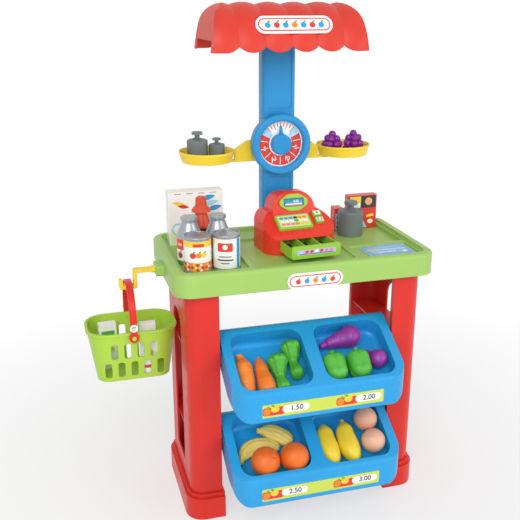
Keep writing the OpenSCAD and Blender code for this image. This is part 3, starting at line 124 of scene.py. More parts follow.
class StallPaints(bpy.types.PropertyGroup):
    """Colours of the mouldings and the play food."""

    stand_red: colour_setting("Red of the legs and the strap", "e02c22")
    # The till is moulded in the legs' red; this copy is lighter as painted light, for the extra light that
    # falls on the till
    till_red_with_painted_light: colour_setting("Red of the till with painted light", "ec3a28")
    awning_red: colour_setting("Red of the awning", "dc4030")
    counter_green: colour_setting("Green of the counter", "a4cc68")
    till_green: colour_setting("Green of the till's fittings", "97cf3f")
    basket_green: colour_setting("Green of the basket", "b2da48")
    tray_blue: colour_setting("Blue of the bins", "2aa3e2")
    column_blue: colour_setting("Blue of the column", "2893d2")
    scale_yellow: colour_setting("Yellow of the scale and the hook", "ffde38")
    weight_grey: colour_setting("Grey of the weights", "727c7b")
    tin_grey: colour_setting("Grey of lids and churns", "a4a9ae")
    grape_purple: colour_setting("Purple of the grapes", "8a1f93")
    eggplant_purple: colour_setting("Purple of eggplant and onion", "9b3aa6")
    carrot_orange: colour_setting("Orange of the carrots", "fb8c33")
    orange_orange: colour_setting("Orange of the oranges", "f4751d")
    leaf_green: colour_setting("Green of the leafy heads", "52b83a")
    pepper_green: colour_setting("Green of the peppers", "58bd3e")
    banana_yellow: colour_setting("Yellow of the bananas", "fee478")
    mango_yellow: colour_setting("Yellow of the mangoes", "fbdd3a")
    peach_pink: colour_setting("Pink of the peaches", "f3bfa2")
    sauce_red: colour_setting("Red of the sauce bottle", "dd5230")


class StallTrim(bpy.types.PropertyGroup):
    """Sizes of the printed trim."""

    sheet: length_setting("Sheet", "Thickness of a printed sticker", 0.35)
    ink: length_setting("Ink", "Height of one printed layer above the next", 0.12)
    plate: length_setting("Plate", "Thickness of a sign plate", 2.2)
    awning_sign_width: length_setting("Awning sign width", "Width of the sign on the awning", 125)
    awning_sign_height: length_setting("Awning sign height", "Height of the sign on the awning", 29)
    counter_sign_width: length_setting("Counter sign width", "Width of the sign on the counter", 91)
    counter_sign_height: length_setting("Counter sign height", "Height of the sign on the counter", 25)
    strip_width: length_setting("Price strip width", "Width of the price strip on a bin", 200)
    strip_height: length_setting("Price strip height", "Height of the price strip on a bin", 22)
    strip_drop: length_setting("Price strip drop", "From a bin's front edge down to the strip's middle", 27.5)
    badge_radius: length_setting("Badge radius", "Radius of the round badges on the basket's strap", 6.4)
    badge_rise: length_setting("Badge rise", "Height of the badges above the basket's pins", 17)
    card_width: length_setting("Card width", "Width of the print on the pay card", 80)
    card_depth: length_setting("Card depth", "Depth of the print on the pay card", 54)
    card_turn: angle_setting("Card turn", "Turn of the pay card on the counter", 3)
    finger: length_setting("Banana", "Diameter of one banana", 13.4)
    finger_step: length_setting("Banana step", "From one banana of a bunch to the next", 5.4)
    outline_step: length_setting("Outline step", "Longest edge of a print that lies round a can", 2.0)


class StallStage(bpy.types.PropertyGroup):
    """Studio and camera."""

    lens: FloatProperty(name="Lens", description="Focal length for a sensor 36 mm wide", unit="CAMERA",
                        min=1.0, default=53.44)
    azimuth: angle_setting("Azimuth", "Camera's turn about the stall", -15.9)
    elevation: angle_setting("Elevation", "Camera's height angle", 18.62)
    distance: length_setting("Distance", "From the camera to its target", 1282.2)
    target_across: FloatProperty(name="Target across", description="Side place that the camera looks at",
                                 unit="LENGTH", default=-55 * MM)
    target_height: length_setting("Target height", "Height of the point that the camera looks at", 414.2)
    floor_grey: colour_setting("Pale grey of the floor", "f4f4f4")
    floor_radius: length_setting("Floor radius", "Radius of the round floor", 6000)
    floor_gap: length_setting("Floor gap", "Height of the stall's feet above the floor", 0.5)
    fade_start: length_setting("Fade start", "Distance at which the floor starts to fade to white", 250)
    fade_end: length_setting("Fade end", "Distance at which the floor is white", 950)
    fade_white: level_setting("Fade white", "Share of white in the floor close to the stall", 0.55)
    sky_level: level_setting("Sky level", "Strength of the even light", 0.5)
    key_power: level_setting("Key power", "Watts of the large front lamp", 35.0)
    key_size: length_setting("Key size", "Diameter of the large front lamp", 1700)
    key_place: place_setting("Key place", "Place of the large front lamp", (-1.0, -2.1, 1.8))
    fill_power: level_setting("Fill power", "Watts of the side lamp", 15.0)
    fill_size: length_setting("Fill size", "Diameter of the side lamp", 1500)
    fill_place: place_setting("Fill place", "Place of the side lamp", (1.7, -1.7, 0.9))
    lamp_aim: length_setting("Lamp aim", "Height of the point that the lamps look at", 400)


def paints():
    """The scene's colours."""
    return bpy.context.scene.stall_paints


def trim():
    """The scene's sizes of printed trim."""
    return bpy.context.scene.stall_trim


# Shader groups

SKIN_OUTPUTS = (("Colour", "NodeSocketColor"), ("Roughness", "NodeSocketFloat"),
                ("Height", "NodeSocketFloat"))


def shader_group(name, inputs):
    """An empty node group with named sockets, and whether it still has to be filled."""
    found = bpy.data.node_groups.get(name)
    if found:
        return found, False
    group = bpy.data.node_groups.new(name, "ShaderNodeTree")
    for label, kind, value in inputs:
        socket = group.interface.new_socket(label, in_out="INPUT", socket_type=kind)
        socket.default_value = value
    for label, kind in SKIN_OUTPUTS:
        group.interface.new_socket(label, in_out="OUTPUT", socket_type=kind)
    group.nodes.new("NodeGroupInput")
    group.nodes.new("NodeGroupOutput")
    return group, True


def add_node(tree, kind, **values):
    """A node with its input sockets set by name."""
    node = tree.nodes.new(kind)
    for label, value in values.items():
        node.inputs[label.replace("_", " ")].default_value = value
    return node


def cloud(tree, scale, detail=2.0):
    """Noise in the object's own space, in cells per metre."""
    where = tree.nodes.new("ShaderNodeTexCoord")
    node = add_node(tree, "ShaderNodeTexNoise", Scale=scale, Detail=detail)
    tree.links.new(where.outputs["Object"], node.inputs["Vector"])
    return node


def around(tree, source, middle, spread):
    """A value that swings by spread about middle as the source goes from 0 to 1."""
    node = tree.nodes.new("ShaderNodeMapRange")
    node.clamp = False
    tree.links.new(source, node.inputs["Value"])
    for label, value in (("To Min", middle - spread), ("To Max", middle + spread)):
        node.inputs[label].default_value = value
    return node.outputs["Result"]


def shaded(group, pattern, amount):
    """Makes a group's colour lighter and darker by an amount, as its pattern goes up and down."""
    source, sink = group.nodes["Group Input"], group.nodes["Group Output"]
    swing = group.nodes.new("ShaderNodeMath")
    swing.operation = "MULTIPLY_ADD"
    group.links.new(around(group, pattern.outputs["Fac"], 0.0, 2.0), swing.inputs[0])
    group.links.new(amount, swing.inputs[1])
    swing.inputs[2].default_value = 1.0
    shade = group.nodes.new("ShaderNodeHueSaturation")
    group.links.new(swing.outputs[0], shade.inputs["Value"])
    group.links.new(source.outputs["Colour"], shade.inputs["Color"])
    group.links.new(shade.outputs["Color"], sink.inputs["Colour"])


def moulded_skin():
    """Shot of plastic: slow flow shading, uneven gloss and a fine spark-eroded grain."""
    group, empty = shader_group(
        "Moulded skin",
        [("Colour", "NodeSocketColor", (0.5, 0.5, 0.5, 1.0)), ("Flow", "NodeSocketFloat", 0.06),
         ("Gloss", "NodeSocketFloat", 0.35), ("Grain", "NodeSocketFloat", 1400.0)])
    if empty:
        source, sink = group.nodes["Group Input"], group.nodes["Group Output"]
        flow = cloud(group, 7.0, 3.0)
        shaded(group, flow, source.outputs["Flow"])
        scuff = cloud(group, 60.0, 4.0)
        gloss = group.nodes.new("ShaderNodeMath")
        gloss.operation = "ADD"
        group.links.new(around(group, scuff.outputs["Fac"], 0.0, 0.12), gloss.inputs[0])
        group.links.new(source.outputs["Gloss"], gloss.inputs[1])
        group.links.new(gloss.outputs[0], sink.inputs["Roughness"])
        grain = cloud(group, 1400.0)
        group.links.new(source.outputs["Grain"], grain.inputs["Scale"])
        group.links.new(grain.outputs["Fac"], sink.inputs["Height"])
    return group


def fruit_skin():
    """Play food: blush in patches, pores and a soft uneven sheen."""
    group, empty = shader_group(
        "Fruit skin",
        [("Colour", "NodeSocketColor", (0.5, 0.5, 0.5, 1.0)),
         ("Blush", "NodeSocketColor", (0.4, 0.3, 0.1, 1.0)),
         ("Amount", "NodeSocketFloat", 0.4), ("Pores", "NodeSocketFloat", 700.0)])
    if empty:
        source, sink = group.nodes["Group Input"], group.nodes["Group Output"]
        patch = cloud(group, 32.0, 4.0)
        ramp = group.nodes.new("ShaderNodeMapRange")
        ramp.inputs["From Min"].default_value = 0.42
        ramp.inputs["From Max"].default_value = 0.72
        group.links.new(patch.outputs["Fac"], ramp.inputs["Value"])
        group.links.new(source.outputs["Amount"], ramp.inputs["To Max"])
        mix = group.nodes.new("ShaderNodeMix")
        mix.data_type = "RGBA"
        group.links.new(ramp.outputs["Result"], mix.inputs["Factor"])
        group.links.new(source.outputs["Colour"], mix.inputs[6])
        group.links.new(source.outputs["Blush"], mix.inputs[7])
        group.links.new(mix.outputs[2], sink.inputs["Colour"])
        sheen = cloud(group, 90.0, 3.0)
        group.links.new(around(group, sheen.outputs["Fac"], 0.4, 0.12), sink.inputs["Roughness"])
        where = group.nodes.new("ShaderNodeTexCoord")
        pores = group.nodes.new("ShaderNodeTexVoronoi")
        group.links.new(where.outputs["Object"], pores.inputs["Vector"])
        group.links.new(source.outputs["Pores"], pores.inputs["Scale"])
        group.links.new(pores.outputs["Distance"], sink.inputs["Height"])
    return group


def printed_sheet():
    """Ink on coated paper: fine screen mottle and a faint fibre."""
    group, empty = shader_group(
        "Printed sheet",
        [("Colour", "NodeSocketColor", (0.8, 0.8, 0.8, 1.0)), ("Mottle", "NodeSocketFloat", 0.05)])
    if empty:
        source, sink = group.nodes["Group Input"], group.nodes["Group Output"]
        screen = cloud(group, 900.0, 2.0)
        shaded(group, screen, source.outputs["Mottle"])
        fibre = cloud(group, 260.0, 5.0)
        group.links.new(around(group, fibre.outputs["Fac"], 0.38, 0.1), sink.inputs["Roughness"])
        group.links.new(fibre.outputs["Fac"], sink.inputs["Height"])
    return group


# Materials

def dressed(name, group, values, bump, bevel=0.0, **shader):
    """A material whose shader takes colour, roughness and height from a group, with softened edges."""
    title = "stall_" + name
    found = bpy.data.materials.get(title)
    if found:
        return found
    material = bpy.data.materials.new(title)
    material.use_nodes = True
    tree = material.node_tree
    principled = tree.nodes["Principled BSDF"]
    skin = tree.nodes.new("ShaderNodeGroup")
    skin.node_tree = group
    for label, value in values.items():
        skin.inputs[label].default_value = value
    for label, value in shader.items():
        principled.inputs[label.replace("_", " ")].default_value = value
    tree.links.new(skin.outputs["Colour"], principled.inputs["Base Color"])
    tree.links.new(skin.outputs["Roughness"], principled.inputs["Roughness"])
    relief = add_node(tree, "ShaderNodeBump", Strength=bump, Distance=RELIEF_DEPTH)
    tree.links.new(skin.outputs["Height"], relief.inputs["Height"])
    if bevel:
        edge = add_node(tree, "ShaderNodeBevel", Radius=bevel)
        edge.samples = EDGE_SAMPLES
        tree.links.new(edge.outputs["Normal"], relief.inputs["Normal"])
    tree.links.new(relief.outputs["Normal"], principled.inputs["Normal"])
    material.diffuse_color = (*values["Colour"][:3], 1.0)
    return material


def moulding(name, colour, gloss=0.34, flow=0.05, bevel=1.0, shine=0.4):
    """Moulded plastic of one colour."""
    return dressed(name, moulded_skin(), {"Colour": (*colour, 1.0), "Gloss": gloss, "Flow": flow},
                   0.12, bevel * MM, Specular_IOR_Level=shine)


def tin_paint(name, colour):
    """Silver paint on plastic."""
    return dressed(name, moulded_skin(), {"Colour": (*colour, 1.0), "Gloss": 0.3, "Flow": 0.04},
                   0.1, 0.6 * MM, Metallic=0.65)


def food(name, colour, blush, amount=0.4, pores=700.0, bump=0.2):
    """Soft plastic of a play fruit or vegetable."""
    values = {"Colour": (*colour, 1.0), "Blush": (*blush, 1.0), "Amount": amount, "Pores": pores}
    return dressed(name, fruit_skin(), values, bump, 0.0, Subsurface_Weight=0.04, Subsurface_Scale=0.004)


def ink(code):
    """Printed colour, one material for each code."""
    return dressed("print_" + code, printed_sheet(), {"Colour": (*paint(code), 1.0)}, 0.06, 0.0,
                   Coat_Weight=0.2, Coat_Roughness=0.2)


WHITE, RED, BLUE, PALE_BLUE, DEEP_BLUE = "fbfbf8", "e2382f", "2b9fe0", "a9dcf5", "2a5fae"
YELLOW, ORANGE, GREEN, LIME, DARK, PINK = "fbd438", "f58a1f", "4cae3c", "cfe055", "2b2a30", "ee86b0"
TEAL, GREY, SILVER, NIGHT, CREAM, INK = "1f8f93", "8d9297", "c3c8cd", "473f55", "fff3d6", "4a4a86"
PALE_LIME, LAVENDER = "dcee9c", "c9bfe2"


# Frames and outlines

def face_of(node, facing, right=RIGHT):
    """Frame, width and height of a node's largest flat face that looks a given way."""
    mesh = frame["nodes"][node].data
    facing = Vector(facing).normalized()
    best = max(mesh.polygons, key=lambda p: p.area * max(p.normal.dot(facing), 0.0) ** 8)
    normal = best.normal.copy()
    level = best.center.dot(normal)
    across = UP.cross(normal)
    across = (Vector(right) - normal * normal.dot(Vector(right))) if across.length < 0.05 else across
    across.normalize()
    along = normal.cross(across)
    points = [mesh.vertices[i].co for p in mesh.polygons for i in p.vertices
              if p.normal.dot(normal) > 0.999 and abs(p.center.dot(normal) - level) < FLAT_WITHIN]
    us, vs = [p.dot(across) for p in points], [p.dot(along) for p in points]
    middle = across * (min(us) + max(us)) / 2 + along * (min(vs) + max(vs)) / 2 + normal * level
    return flat_frame(middle, across, along), max(us) - min(us), max(vs) - min(vs)


def flat_frame(origin, across, along):
    """Frame with its X across, its Y along and its Z out of the surface."""
    normal = across.cross(along)
    axes = Matrix((across, along, normal)).transposed().to_4x4()
    return Matrix.Translation(origin) @ axes


def on_plane(where):
    """Placing of a printed point on a plane."""
    return lambda u, v, h: where @ Vector((u, v, h))


def on_can(centre, radius, turn):
    """Placing of a printed point round an upright can, from its foot, facing the turn."""
    def place(u, v, h):
        angle = turn + u / radius
        reach = radius + h
        return Vector((centre.x + reach * math.sin(angle), centre.y - reach * math.cos(angle), centre.z + v))
    return place


def rounded(width, height, radius, steps=6):
    """Outline of a rectangle with round corners."""
    radius = min(radius, width / 2, height / 2)
    points = []
    for quarter, (sx, sy) in enumerate(((1, 1), (-1, 1), (-1, -1), (1, -1))):
        for i in range(steps + 1):
            angle = math.pi / 2 * (quarter + i / steps)
            points.append((sx * (width / 2 - radius) + radius * math.cos(angle),
                           sy * (height / 2 - radius) + radius * math.sin(angle)))
    return points


def disc(radius, steps=24, squash=1.0):
    """Outline of a circle, or of an ellipse when squashed."""
    return [(radius * math.cos(math.tau * i / steps), squash * radius * math.sin(math.tau * i / steps))
            for i in range(steps)]


def petal(length, width, steps=8):
    """Outline of a leaf that points along the first axis."""
    upper = [(length * i / steps, width / 2 * math.sin(math.pi * i / steps)) for i in range(steps + 1)]
    return upper[::-1] + [(u, -v) for u, v in upper[1:-1]]


def sector(inner, outer, start, end, steps=10):
    """Outline of a piece of a ring between two angles in degrees, clockwise from the top."""
    angles = [math.radians(start + (end - start) * i / steps) for i in range(steps + 1)]
    arc = [(outer * math.sin(a), outer * math.cos(a)) for a in reversed(angles)]
    return arc + [(inner * math.sin(a), inner * math.cos(a)) for a in angles]


def fine(outline, longest):
    """An outline with points added so that no edge is longer than a given length."""
    points = []
    for (u0, v0), (u1, v1) in zip(outline, outline[1:] + outline[:1]):
        parts = max(1, math.ceil(math.hypot(u1 - u0, v1 - v0) / longest))
        points += [(u0 + (u1 - u0) * i / parts, v0 + (v1 - v0) * i / parts) for i in range(parts)]
    return points


def moved(outline, u, v, turn=0.0):
    """An outline turned by an angle in degrees and moved."""
    c, s = math.cos(math.radians(turn)), math.sin(math.radians(turn))
    return [(u + x * c - y * s, v + x * s + y * c) for x, y in outline]


def bar(width, height, radius, u=0.0, v=0.0, turn=0.0):
    """A rounded rectangle at a place."""
    return moved(rounded(width, height, radius), u, v, turn)


def dot(radius, u=0.0, v=0.0, squash=1.0, steps=24):
    """A disc at a place."""
    return moved(disc(radius, steps, squash), u, v)


def leaf(length, width, u, v, turn):
    """A leaf whose foot is at a place."""
    return moved(petal(length, width), u, v, turn)


def corners(points):
    """Lowest and highest corner of the box round some points."""
    spans = [[p[i] for p in points] for i in range(3)]
    return Vector([min(span) for span in spans]), Vector([max(span) for span in spans])


class Sheet:
    """Printed sheet: closed flat shapes laid on a surface, one layer of ink above the next.

    The base is the thickness of the sheet itself, and layers of ink are counted from there.
    """

    def __init__(self, name, place, base=0.0):
        self.name = name
        self.place = place
        self.base = base
        self.mesh = bmesh.new()
        self.inks = []

    def ink_number(self, code):
        if code not in self.inks:
            self.inks.append(code)
        return self.inks.index(code)

    def level(self, layer):
        """Height at which a layer of ink starts."""
        return self.base + layer * trim().ink

    def ground(self, outline, code):
        """The sheet itself, below all ink."""
        self.shape(outline, code, 0.0, self.base)

    def lay(self, outline, code, layer=0, rings=1, layers=1):
        """A patch of ink that starts at a layer."""
        self.shape(outline, code, self.level(layer), self.level(layer + layers), rings)

    def shape(self, outline, code, low, high, rings=1):
        """A convex or star-shaped solid sheet between two heights, ringed where the surface bends."""
        number = self.ink_number(code)
        outline = fine(outline, trim().outline_step) if rings > 1 else outline
        count = len(outline)
        mid_u, mid_v = sum(u for u, _ in outline) / count, sum(v for _, v in outline) / count
        skins = []
        for height in (low, high):
            centre = self.mesh.verts.new(self.place(mid_u, mid_v, height))
            loops = []
            for ring in range(1, rings + 1):
                share = ring / rings
                spots = [(mid_u + (u - mid_u) * share, mid_v + (v - mid_v) * share) for u, v in outline]
                loops.append([self.mesh.verts.new(self.place(*spot, height)) for spot in spots])
            skins.append((centre, loops))
        faces = []
        for (centre, loops), up in zip(skins, (False, True)):
            for i in range(count):
                j = (i + 1) % count
                fan = [centre, loops[0][i], loops[0][j]]
                faces.append(fan if up else fan[::-1])
                for inner, outer in zip(loops, loops[1:]):
                    quad = [inner[i], outer[i], outer[j], inner[j]]
                    faces.append(quad if up else quad[::-1])
        foot, head = skins[0][1][-1], skins[1][1][-1]
        faces += [[foot[i], foot[(i + 1) % count], head[(i + 1) % count], head[i]] for i in range(count)]
        self.skin(faces, number)

    def band(self, outline, code, layer=0):
        """A curved strip given as an outer edge followed by its inner edge, backwards."""
        number = self.ink_number(code)
        half = len(outline) // 2
        outer, inner = outline[:half], outline[half:][::-1]
        grid = [[self.mesh.verts.new(self.place(*point, self.level(step))) for point in edge]
                for edge in (inner, outer) for step in (layer, layer + 1)]
        inner_low, inner_high, outer_low, outer_high = grid
        faces = []
        for i in range(half - 1):
            for a, b in ((inner_high, outer_high), (outer_high, outer_low), (outer_low, inner_low),
                         (inner_low, inner_high)):
                faces.append([a[i], a[i + 1], b[i + 1], b[i]])
        for i in (0, half - 1):
            faces.append([inner_low[i], inner_high[i], outer_high[i], outer_low[i]])
        self.skin(faces, number)

    def figures(self, text, size, u, v, code, layer):
        """Plain figures centred on a point."""
        number = self.ink_number(code)
        curve = bpy.data.curves.new("figures", "FONT")
        curve.body, curve.size, curve.extrude = text, size, 0.5
        curve.offset = size * BOLD
        curve.align_x, curve.align_y = "CENTER", "CENTER"
        curve.resolution_u = 3
        holder = bpy.data.objects.new("figures", curve)
        bpy.context.scene.collection.objects.link(holder)
        drawn = bpy.data.meshes.new_from_object(holder.evaluated_get(bpy.context.evaluated_depsgraph_get()))
        low, high = self.level(layer), self.level(layer + 1)
        points = [self.mesh.verts.new(self.place(u + p.co.x, v + p.co.y, high if p.co.z > 0 else low))
                  for p in drawn.vertices]
        self.skin([[points[i] for i in polygon.vertices] for polygon in drawn.polygons], number)
        bpy.data.objects.remove(holder)
        bpy.data.meshes.remove(drawn)
        bpy.data.curves.remove(curve)

    def skin(self, faces, number):
        """Faces in one ink."""
        for face in faces:
            self.mesh.faces.new(face).material_index = number

    def finish(self, body, slot):
        """The sheet as a piece that rides on a body."""
        bmesh.ops.remove_doubles(self.mesh, verts=self.mesh.verts, dist=1e-7)
        bmesh.ops.recalc_face_normals(self.mesh, faces=self.mesh.faces)
        return piece(self.name, self.mesh, [ink(code) for code in self.inks], body)


class Label(Sheet):
    """Printed sheet that lies round an upright good."""

    def __init__(self, node, inset, turn):
        low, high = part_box(node)
        foot = Vector(((low.x + high.x) / 2, (low.y + high.y) / 2, low.z))
        self.radius = (high.x - low.x) / 2 - inset
        self.height = high.z - low.z
        super().__init__(node + "_label", on_can(foot, self.radius, math.radians(turn)), trim().sheet)

    def around(self, share):
        """Way along the label for a share of the full turn."""
        return math.tau * self.radius * share

    def belt(self, low, high, code, foot, head):
        """A closed band right round, between two shares of the good's height."""
        number = self.ink_number(code)
        rows = []
        for share, reach in ((low, foot), (low, head), (high, head), (high, foot)):
            spots = [(self.around(i / BELT_SIDES), self.height * share, reach) for i in range(BELT_SIDES)]
            rows.append([self.mesh.verts.new(self.place(*spot)) for spot in spots])
        faces = []
        for a, b in zip(rows, rows[1:] + rows[:1]):
            for i in range(BELT_SIDES):
                j = (i + 1) % BELT_SIDES
                faces.append([a[i], a[j], b[j], b[i]])
        self.skin(faces, number)

    def paper(self, low, high, code, foot=0.0):
        """The label's paper."""
        self.belt(low, high, code, foot, self.base)

    def stripe(self, low, high, code):
        """A stripe of ink right round."""
        self.belt(low, high, code, self.base, self.level(1))


def piece(name, mesh, materials, body, smooth=None):
    """Object made of a finished bmesh, riding on a body."""
    data = bpy.data.meshes.new(name)
    mesh.to_mesh(data)
    mesh.free()
    for material in materials:
        data.materials.append(material)
    made = bpy.data.objects.new(name, data)
    bpy.context.scene.collection.objects.link(made)
    if smooth is not None:
        data.shade_smooth()
        data.set_sharp_from_angle(angle=math.radians(smooth))
    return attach(made, body)


def dress(material, *nodes):
    """Gives solids their finish."""
    for node in nodes:
        slots = frame["nodes"][node].data.materials
        slots.clear()
        slots.append(material)


# Signs and prices

def pill_sign(name, place, width, height, fruits):
    """White sign plate with a red line round it and a row of plain fruits."""
    sign = Sheet(name, place, trim().plate)
    sign.ground(rounded(width, height, height / 2, PILL_STEPS), WHITE)
    rim, line = height * 0.13, height * 0.07
    for layer, (inset, code) in enumerate(((rim, RED), (rim + line, WHITE))):
        w, h = width - 2 * inset, height - 2 * inset
        sign.lay(rounded(w, h, h / 2, PILL_STEPS), code, layer)
    step = (w - h * 0.7) / len(fruits)
    for i, code in enumerate(fruits):
        u = (i - (len(fruits) - 1) / 2) * step
        sign.lay(dot(h * 0.27, u, -h * 0.06), code, 2)
        sign.lay(leaf(h * 0.34, h * 0.17, u, h * 0.17, 40), GREEN, 3)
    return sign.finish("stand", "white_print")


class STALL_OT_signs(bpy.types.Operator):
    """Sign plates on the awning and on the counter's front"""

    bl_idname = "stall.signs"
    bl_label = "Signs"

    def execute(self, context):
        t = trim()
        low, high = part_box("counter")
        skirt = Vector((SIGN_SHIFT, low.y, low.z + (high.z - low.z) * SKIRT_SHARE))
        pill_sign("counter_sign", on_plane(flat_frame(skirt, RIGHT, UP)), t.counter_sign_width,
                  t.counter_sign_height, (RED, BLUE, ORANGE, BLUE, RED))
        pill_sign("awning_sign", on_plane(awning_seat()), t.awning_sign_width, t.awning_sign_height,
                  (BLUE, RED, BLUE, ORANGE, BLUE, RED, BLUE))
        return {"FINISHED"}


def awning_seat():
    """Frame on the crests of the awning's front slope, at the height of its sign."""
    half_span, band, sunk = 70 * MM, 6 * MM, 0.8 * MM
    low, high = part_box("awning")
    points = [v.co for v in frame["nodes"]["awning"].data.vertices if abs(v.co.x) < half_span]
    levels = [low.z + (high.z - low.z) * share for share in (0.36, 0.74)]
    edges = []
    for level in levels:
        near = [p.y for p in points if abs(p.z - level) < band]
        edges.append(Vector((SIGN_SHIFT, min(near), level)))
    along = (edges[1] - edges[0]).normalized()
    normal = RIGHT.cross(along)
    reach = max((p - edges[0]).dot(normal) for p in points
                if levels[0] < p.z < levels[1] and p.y < (low.y + high.y) / 2)
    return flat_frame((edges[0] + edges[1]) / 2 + normal * (reach - sunk), RIGHT, along)


class STALL_OT_price_strips(bpy.types.Operator):
    """Printed price strips along the bins' fronts"""

    bl_idname = "stall.price_strips"
    bl_label = "Price strips"

    def execute(self, context):
        t = trim()
        for tray, prices in (("upper_tray", ("1.50", "2.00")), ("lower_tray", ("2.50", "3.00"))):
            low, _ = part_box(tray)
            middle = Vector((0.0, low.y - STRIP_GAP, front_edge(tray) - t.strip_drop))
            name = tray.replace("tray", "price_strip")
            strip = Sheet(name, on_plane(flat_frame(middle, RIGHT, UP)), t.sheet)
            strip.ground(rounded(t.strip_width, t.strip_height, 1.5 * MM), LIME)
            for side, price in zip((-1, 1), prices):
                price_tag(strip, side * t.strip_width * 0.3 - 6 * MM, price)
            strip.finish("stand", "white_print")
        return {"FINISHED"}


def front_edge(tray):
    """Height of a bin's front edge, where its sloping top begins."""
    low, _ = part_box(tray)
    points = [v.co for v in frame["nodes"][tray].data.vertices]
    return max(p.z for p in points if p.y < low.y + 1 * MM)


def price_tag(strip, u, price):
    """An orange and a lemon on a red label, with a white tag for the price."""
    h = trim().strip_height
    orange, lemon = u - 27 * MM, u - 14 * MM
    strip.lay(bar(36 * MM, h * 0.62, h * 0.2, u - 16 * MM, -h * 0.04), RED)
    strip.lay(bar(44 * MM, h * 0.56, h * 0.28, u + 20 * MM, h * 0.02), WHITE, 1)
    strip.lay(dot(h * 0.27, orange, -h * 0.04), ORANGE, 1)
    strip.lay(dot(h * 0.31, lemon, h * 0.12, 0.85), YELLOW, 1)
    strip.lay(leaf(h * 0.34, h * 0.16, lemon, h * 0.3, 150), GREEN, 2)
    strip.lay(leaf(h * 0.3, h * 0.15, orange, h * 0.14, 60), GREEN, 2)
    strip.figures(price, h * 0.56, u + 21 * MM, h * 0.02, INK, 2)


# Stand

class STALL_OT_stand(bpy.types.Operator):
    """Finishes of the stand's mouldings"""

    bl_idname = "stall.stand"
    bl_label = "Stand"

    def execute(self, context):
        p = paints()
        dress(moulding("leg_plastic", p.stand_red, 0.36), "left_leg", "right_leg", "left_foot", "right_foot")
        dress(moulding("awning_plastic", p.awning_red, 0.45, 0.06, shine=0.3), "awning")
        dress(moulding("counter_plastic", p.counter_green, 0.4, 0.04, 1.5), "counter")
        dress(moulding("bin_plastic", p.tray_blue, 0.3, 0.05, 1.2), "upper_tray", "lower_tray")
        dress(moulding("column_plastic", p.column_blue, 0.34), "column_front", "column_back", "dial_ring",
              "dial_pointer")
        dress(moulding("yellow_plastic", p.scale_yellow, 0.34), "hook", "scale_beam", "left_pan", "right_pan")
        return {"FINISHED"}


# Scale

class STALL_OT_scale(bpy.types.Operator):
    """Dial print, weights and grapes of the scale"""

    bl_idname = "stall.scale"
    bl_label = "Scale"

    def execute(self, context):
        p = paints()
        dress(tin_paint("axle_steel", paint("b9bdc2")), "scale_axle")
        dress(moulding("weight_plastic", p.weight_grey, 0.46, 0.05, 0.8), "small_weight", "medium_weight",
              "large_weight")
        dress(food("grape_skin", p.grape_purple, paint("5d1268"), 0.6, 500.0, 0.1),
              "left_grapes", "right_grapes")
        dress(ink(WHITE), "dial_face")
        self.dial_print()
        return {"FINISHED"}

    def dial_print(self):
        """White dial with a red lower arc, blue end marks, ticks and plain figures."""
        low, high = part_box("dial_face")
        seat, width, _ = face_of("dial_face", FRONT)
        middle = Vector(((low.x + high.x) / 2, seat.translation.y - DIAL_GAP, (low.z + high.z) / 2))
        r = width / 2
        dial = Sheet("dial_print", on_plane(flat_frame(middle, RIGHT, UP)))
        dial.band(sector(r * 0.5, r * 0.9, 62, 298, 40), RED)
        for start, end in ((42, 60), (300, 318)):
            dial.band(sector(r * 0.5, r * 0.9, start, end, 6), PALE_BLUE)
        for angle in range(-40, 41, 10):
            inset = 0.72 if angle % 20 else 0.62
            dial.band(sector(r * inset, r * 0.88, angle - 1.3, angle + 1.3, 2), RED)
        for angle in range(80, 281, 25):
            dial.band(sector(r * 0.54, r * 0.86, angle - 1.2, angle + 1.2, 2), WHITE, 1)
        for angle, figure in ((105, "5"), (155, "10"), (205, "10"), (255, "5")):
            a = math.radians(angle)
            dial.figures(figure, r * 0.24, r * 0.7 * math.sin(a), r * 0.7 * math.cos(a), WHITE, 1)
        dial.finish("stand", "white_print")


# Cash register

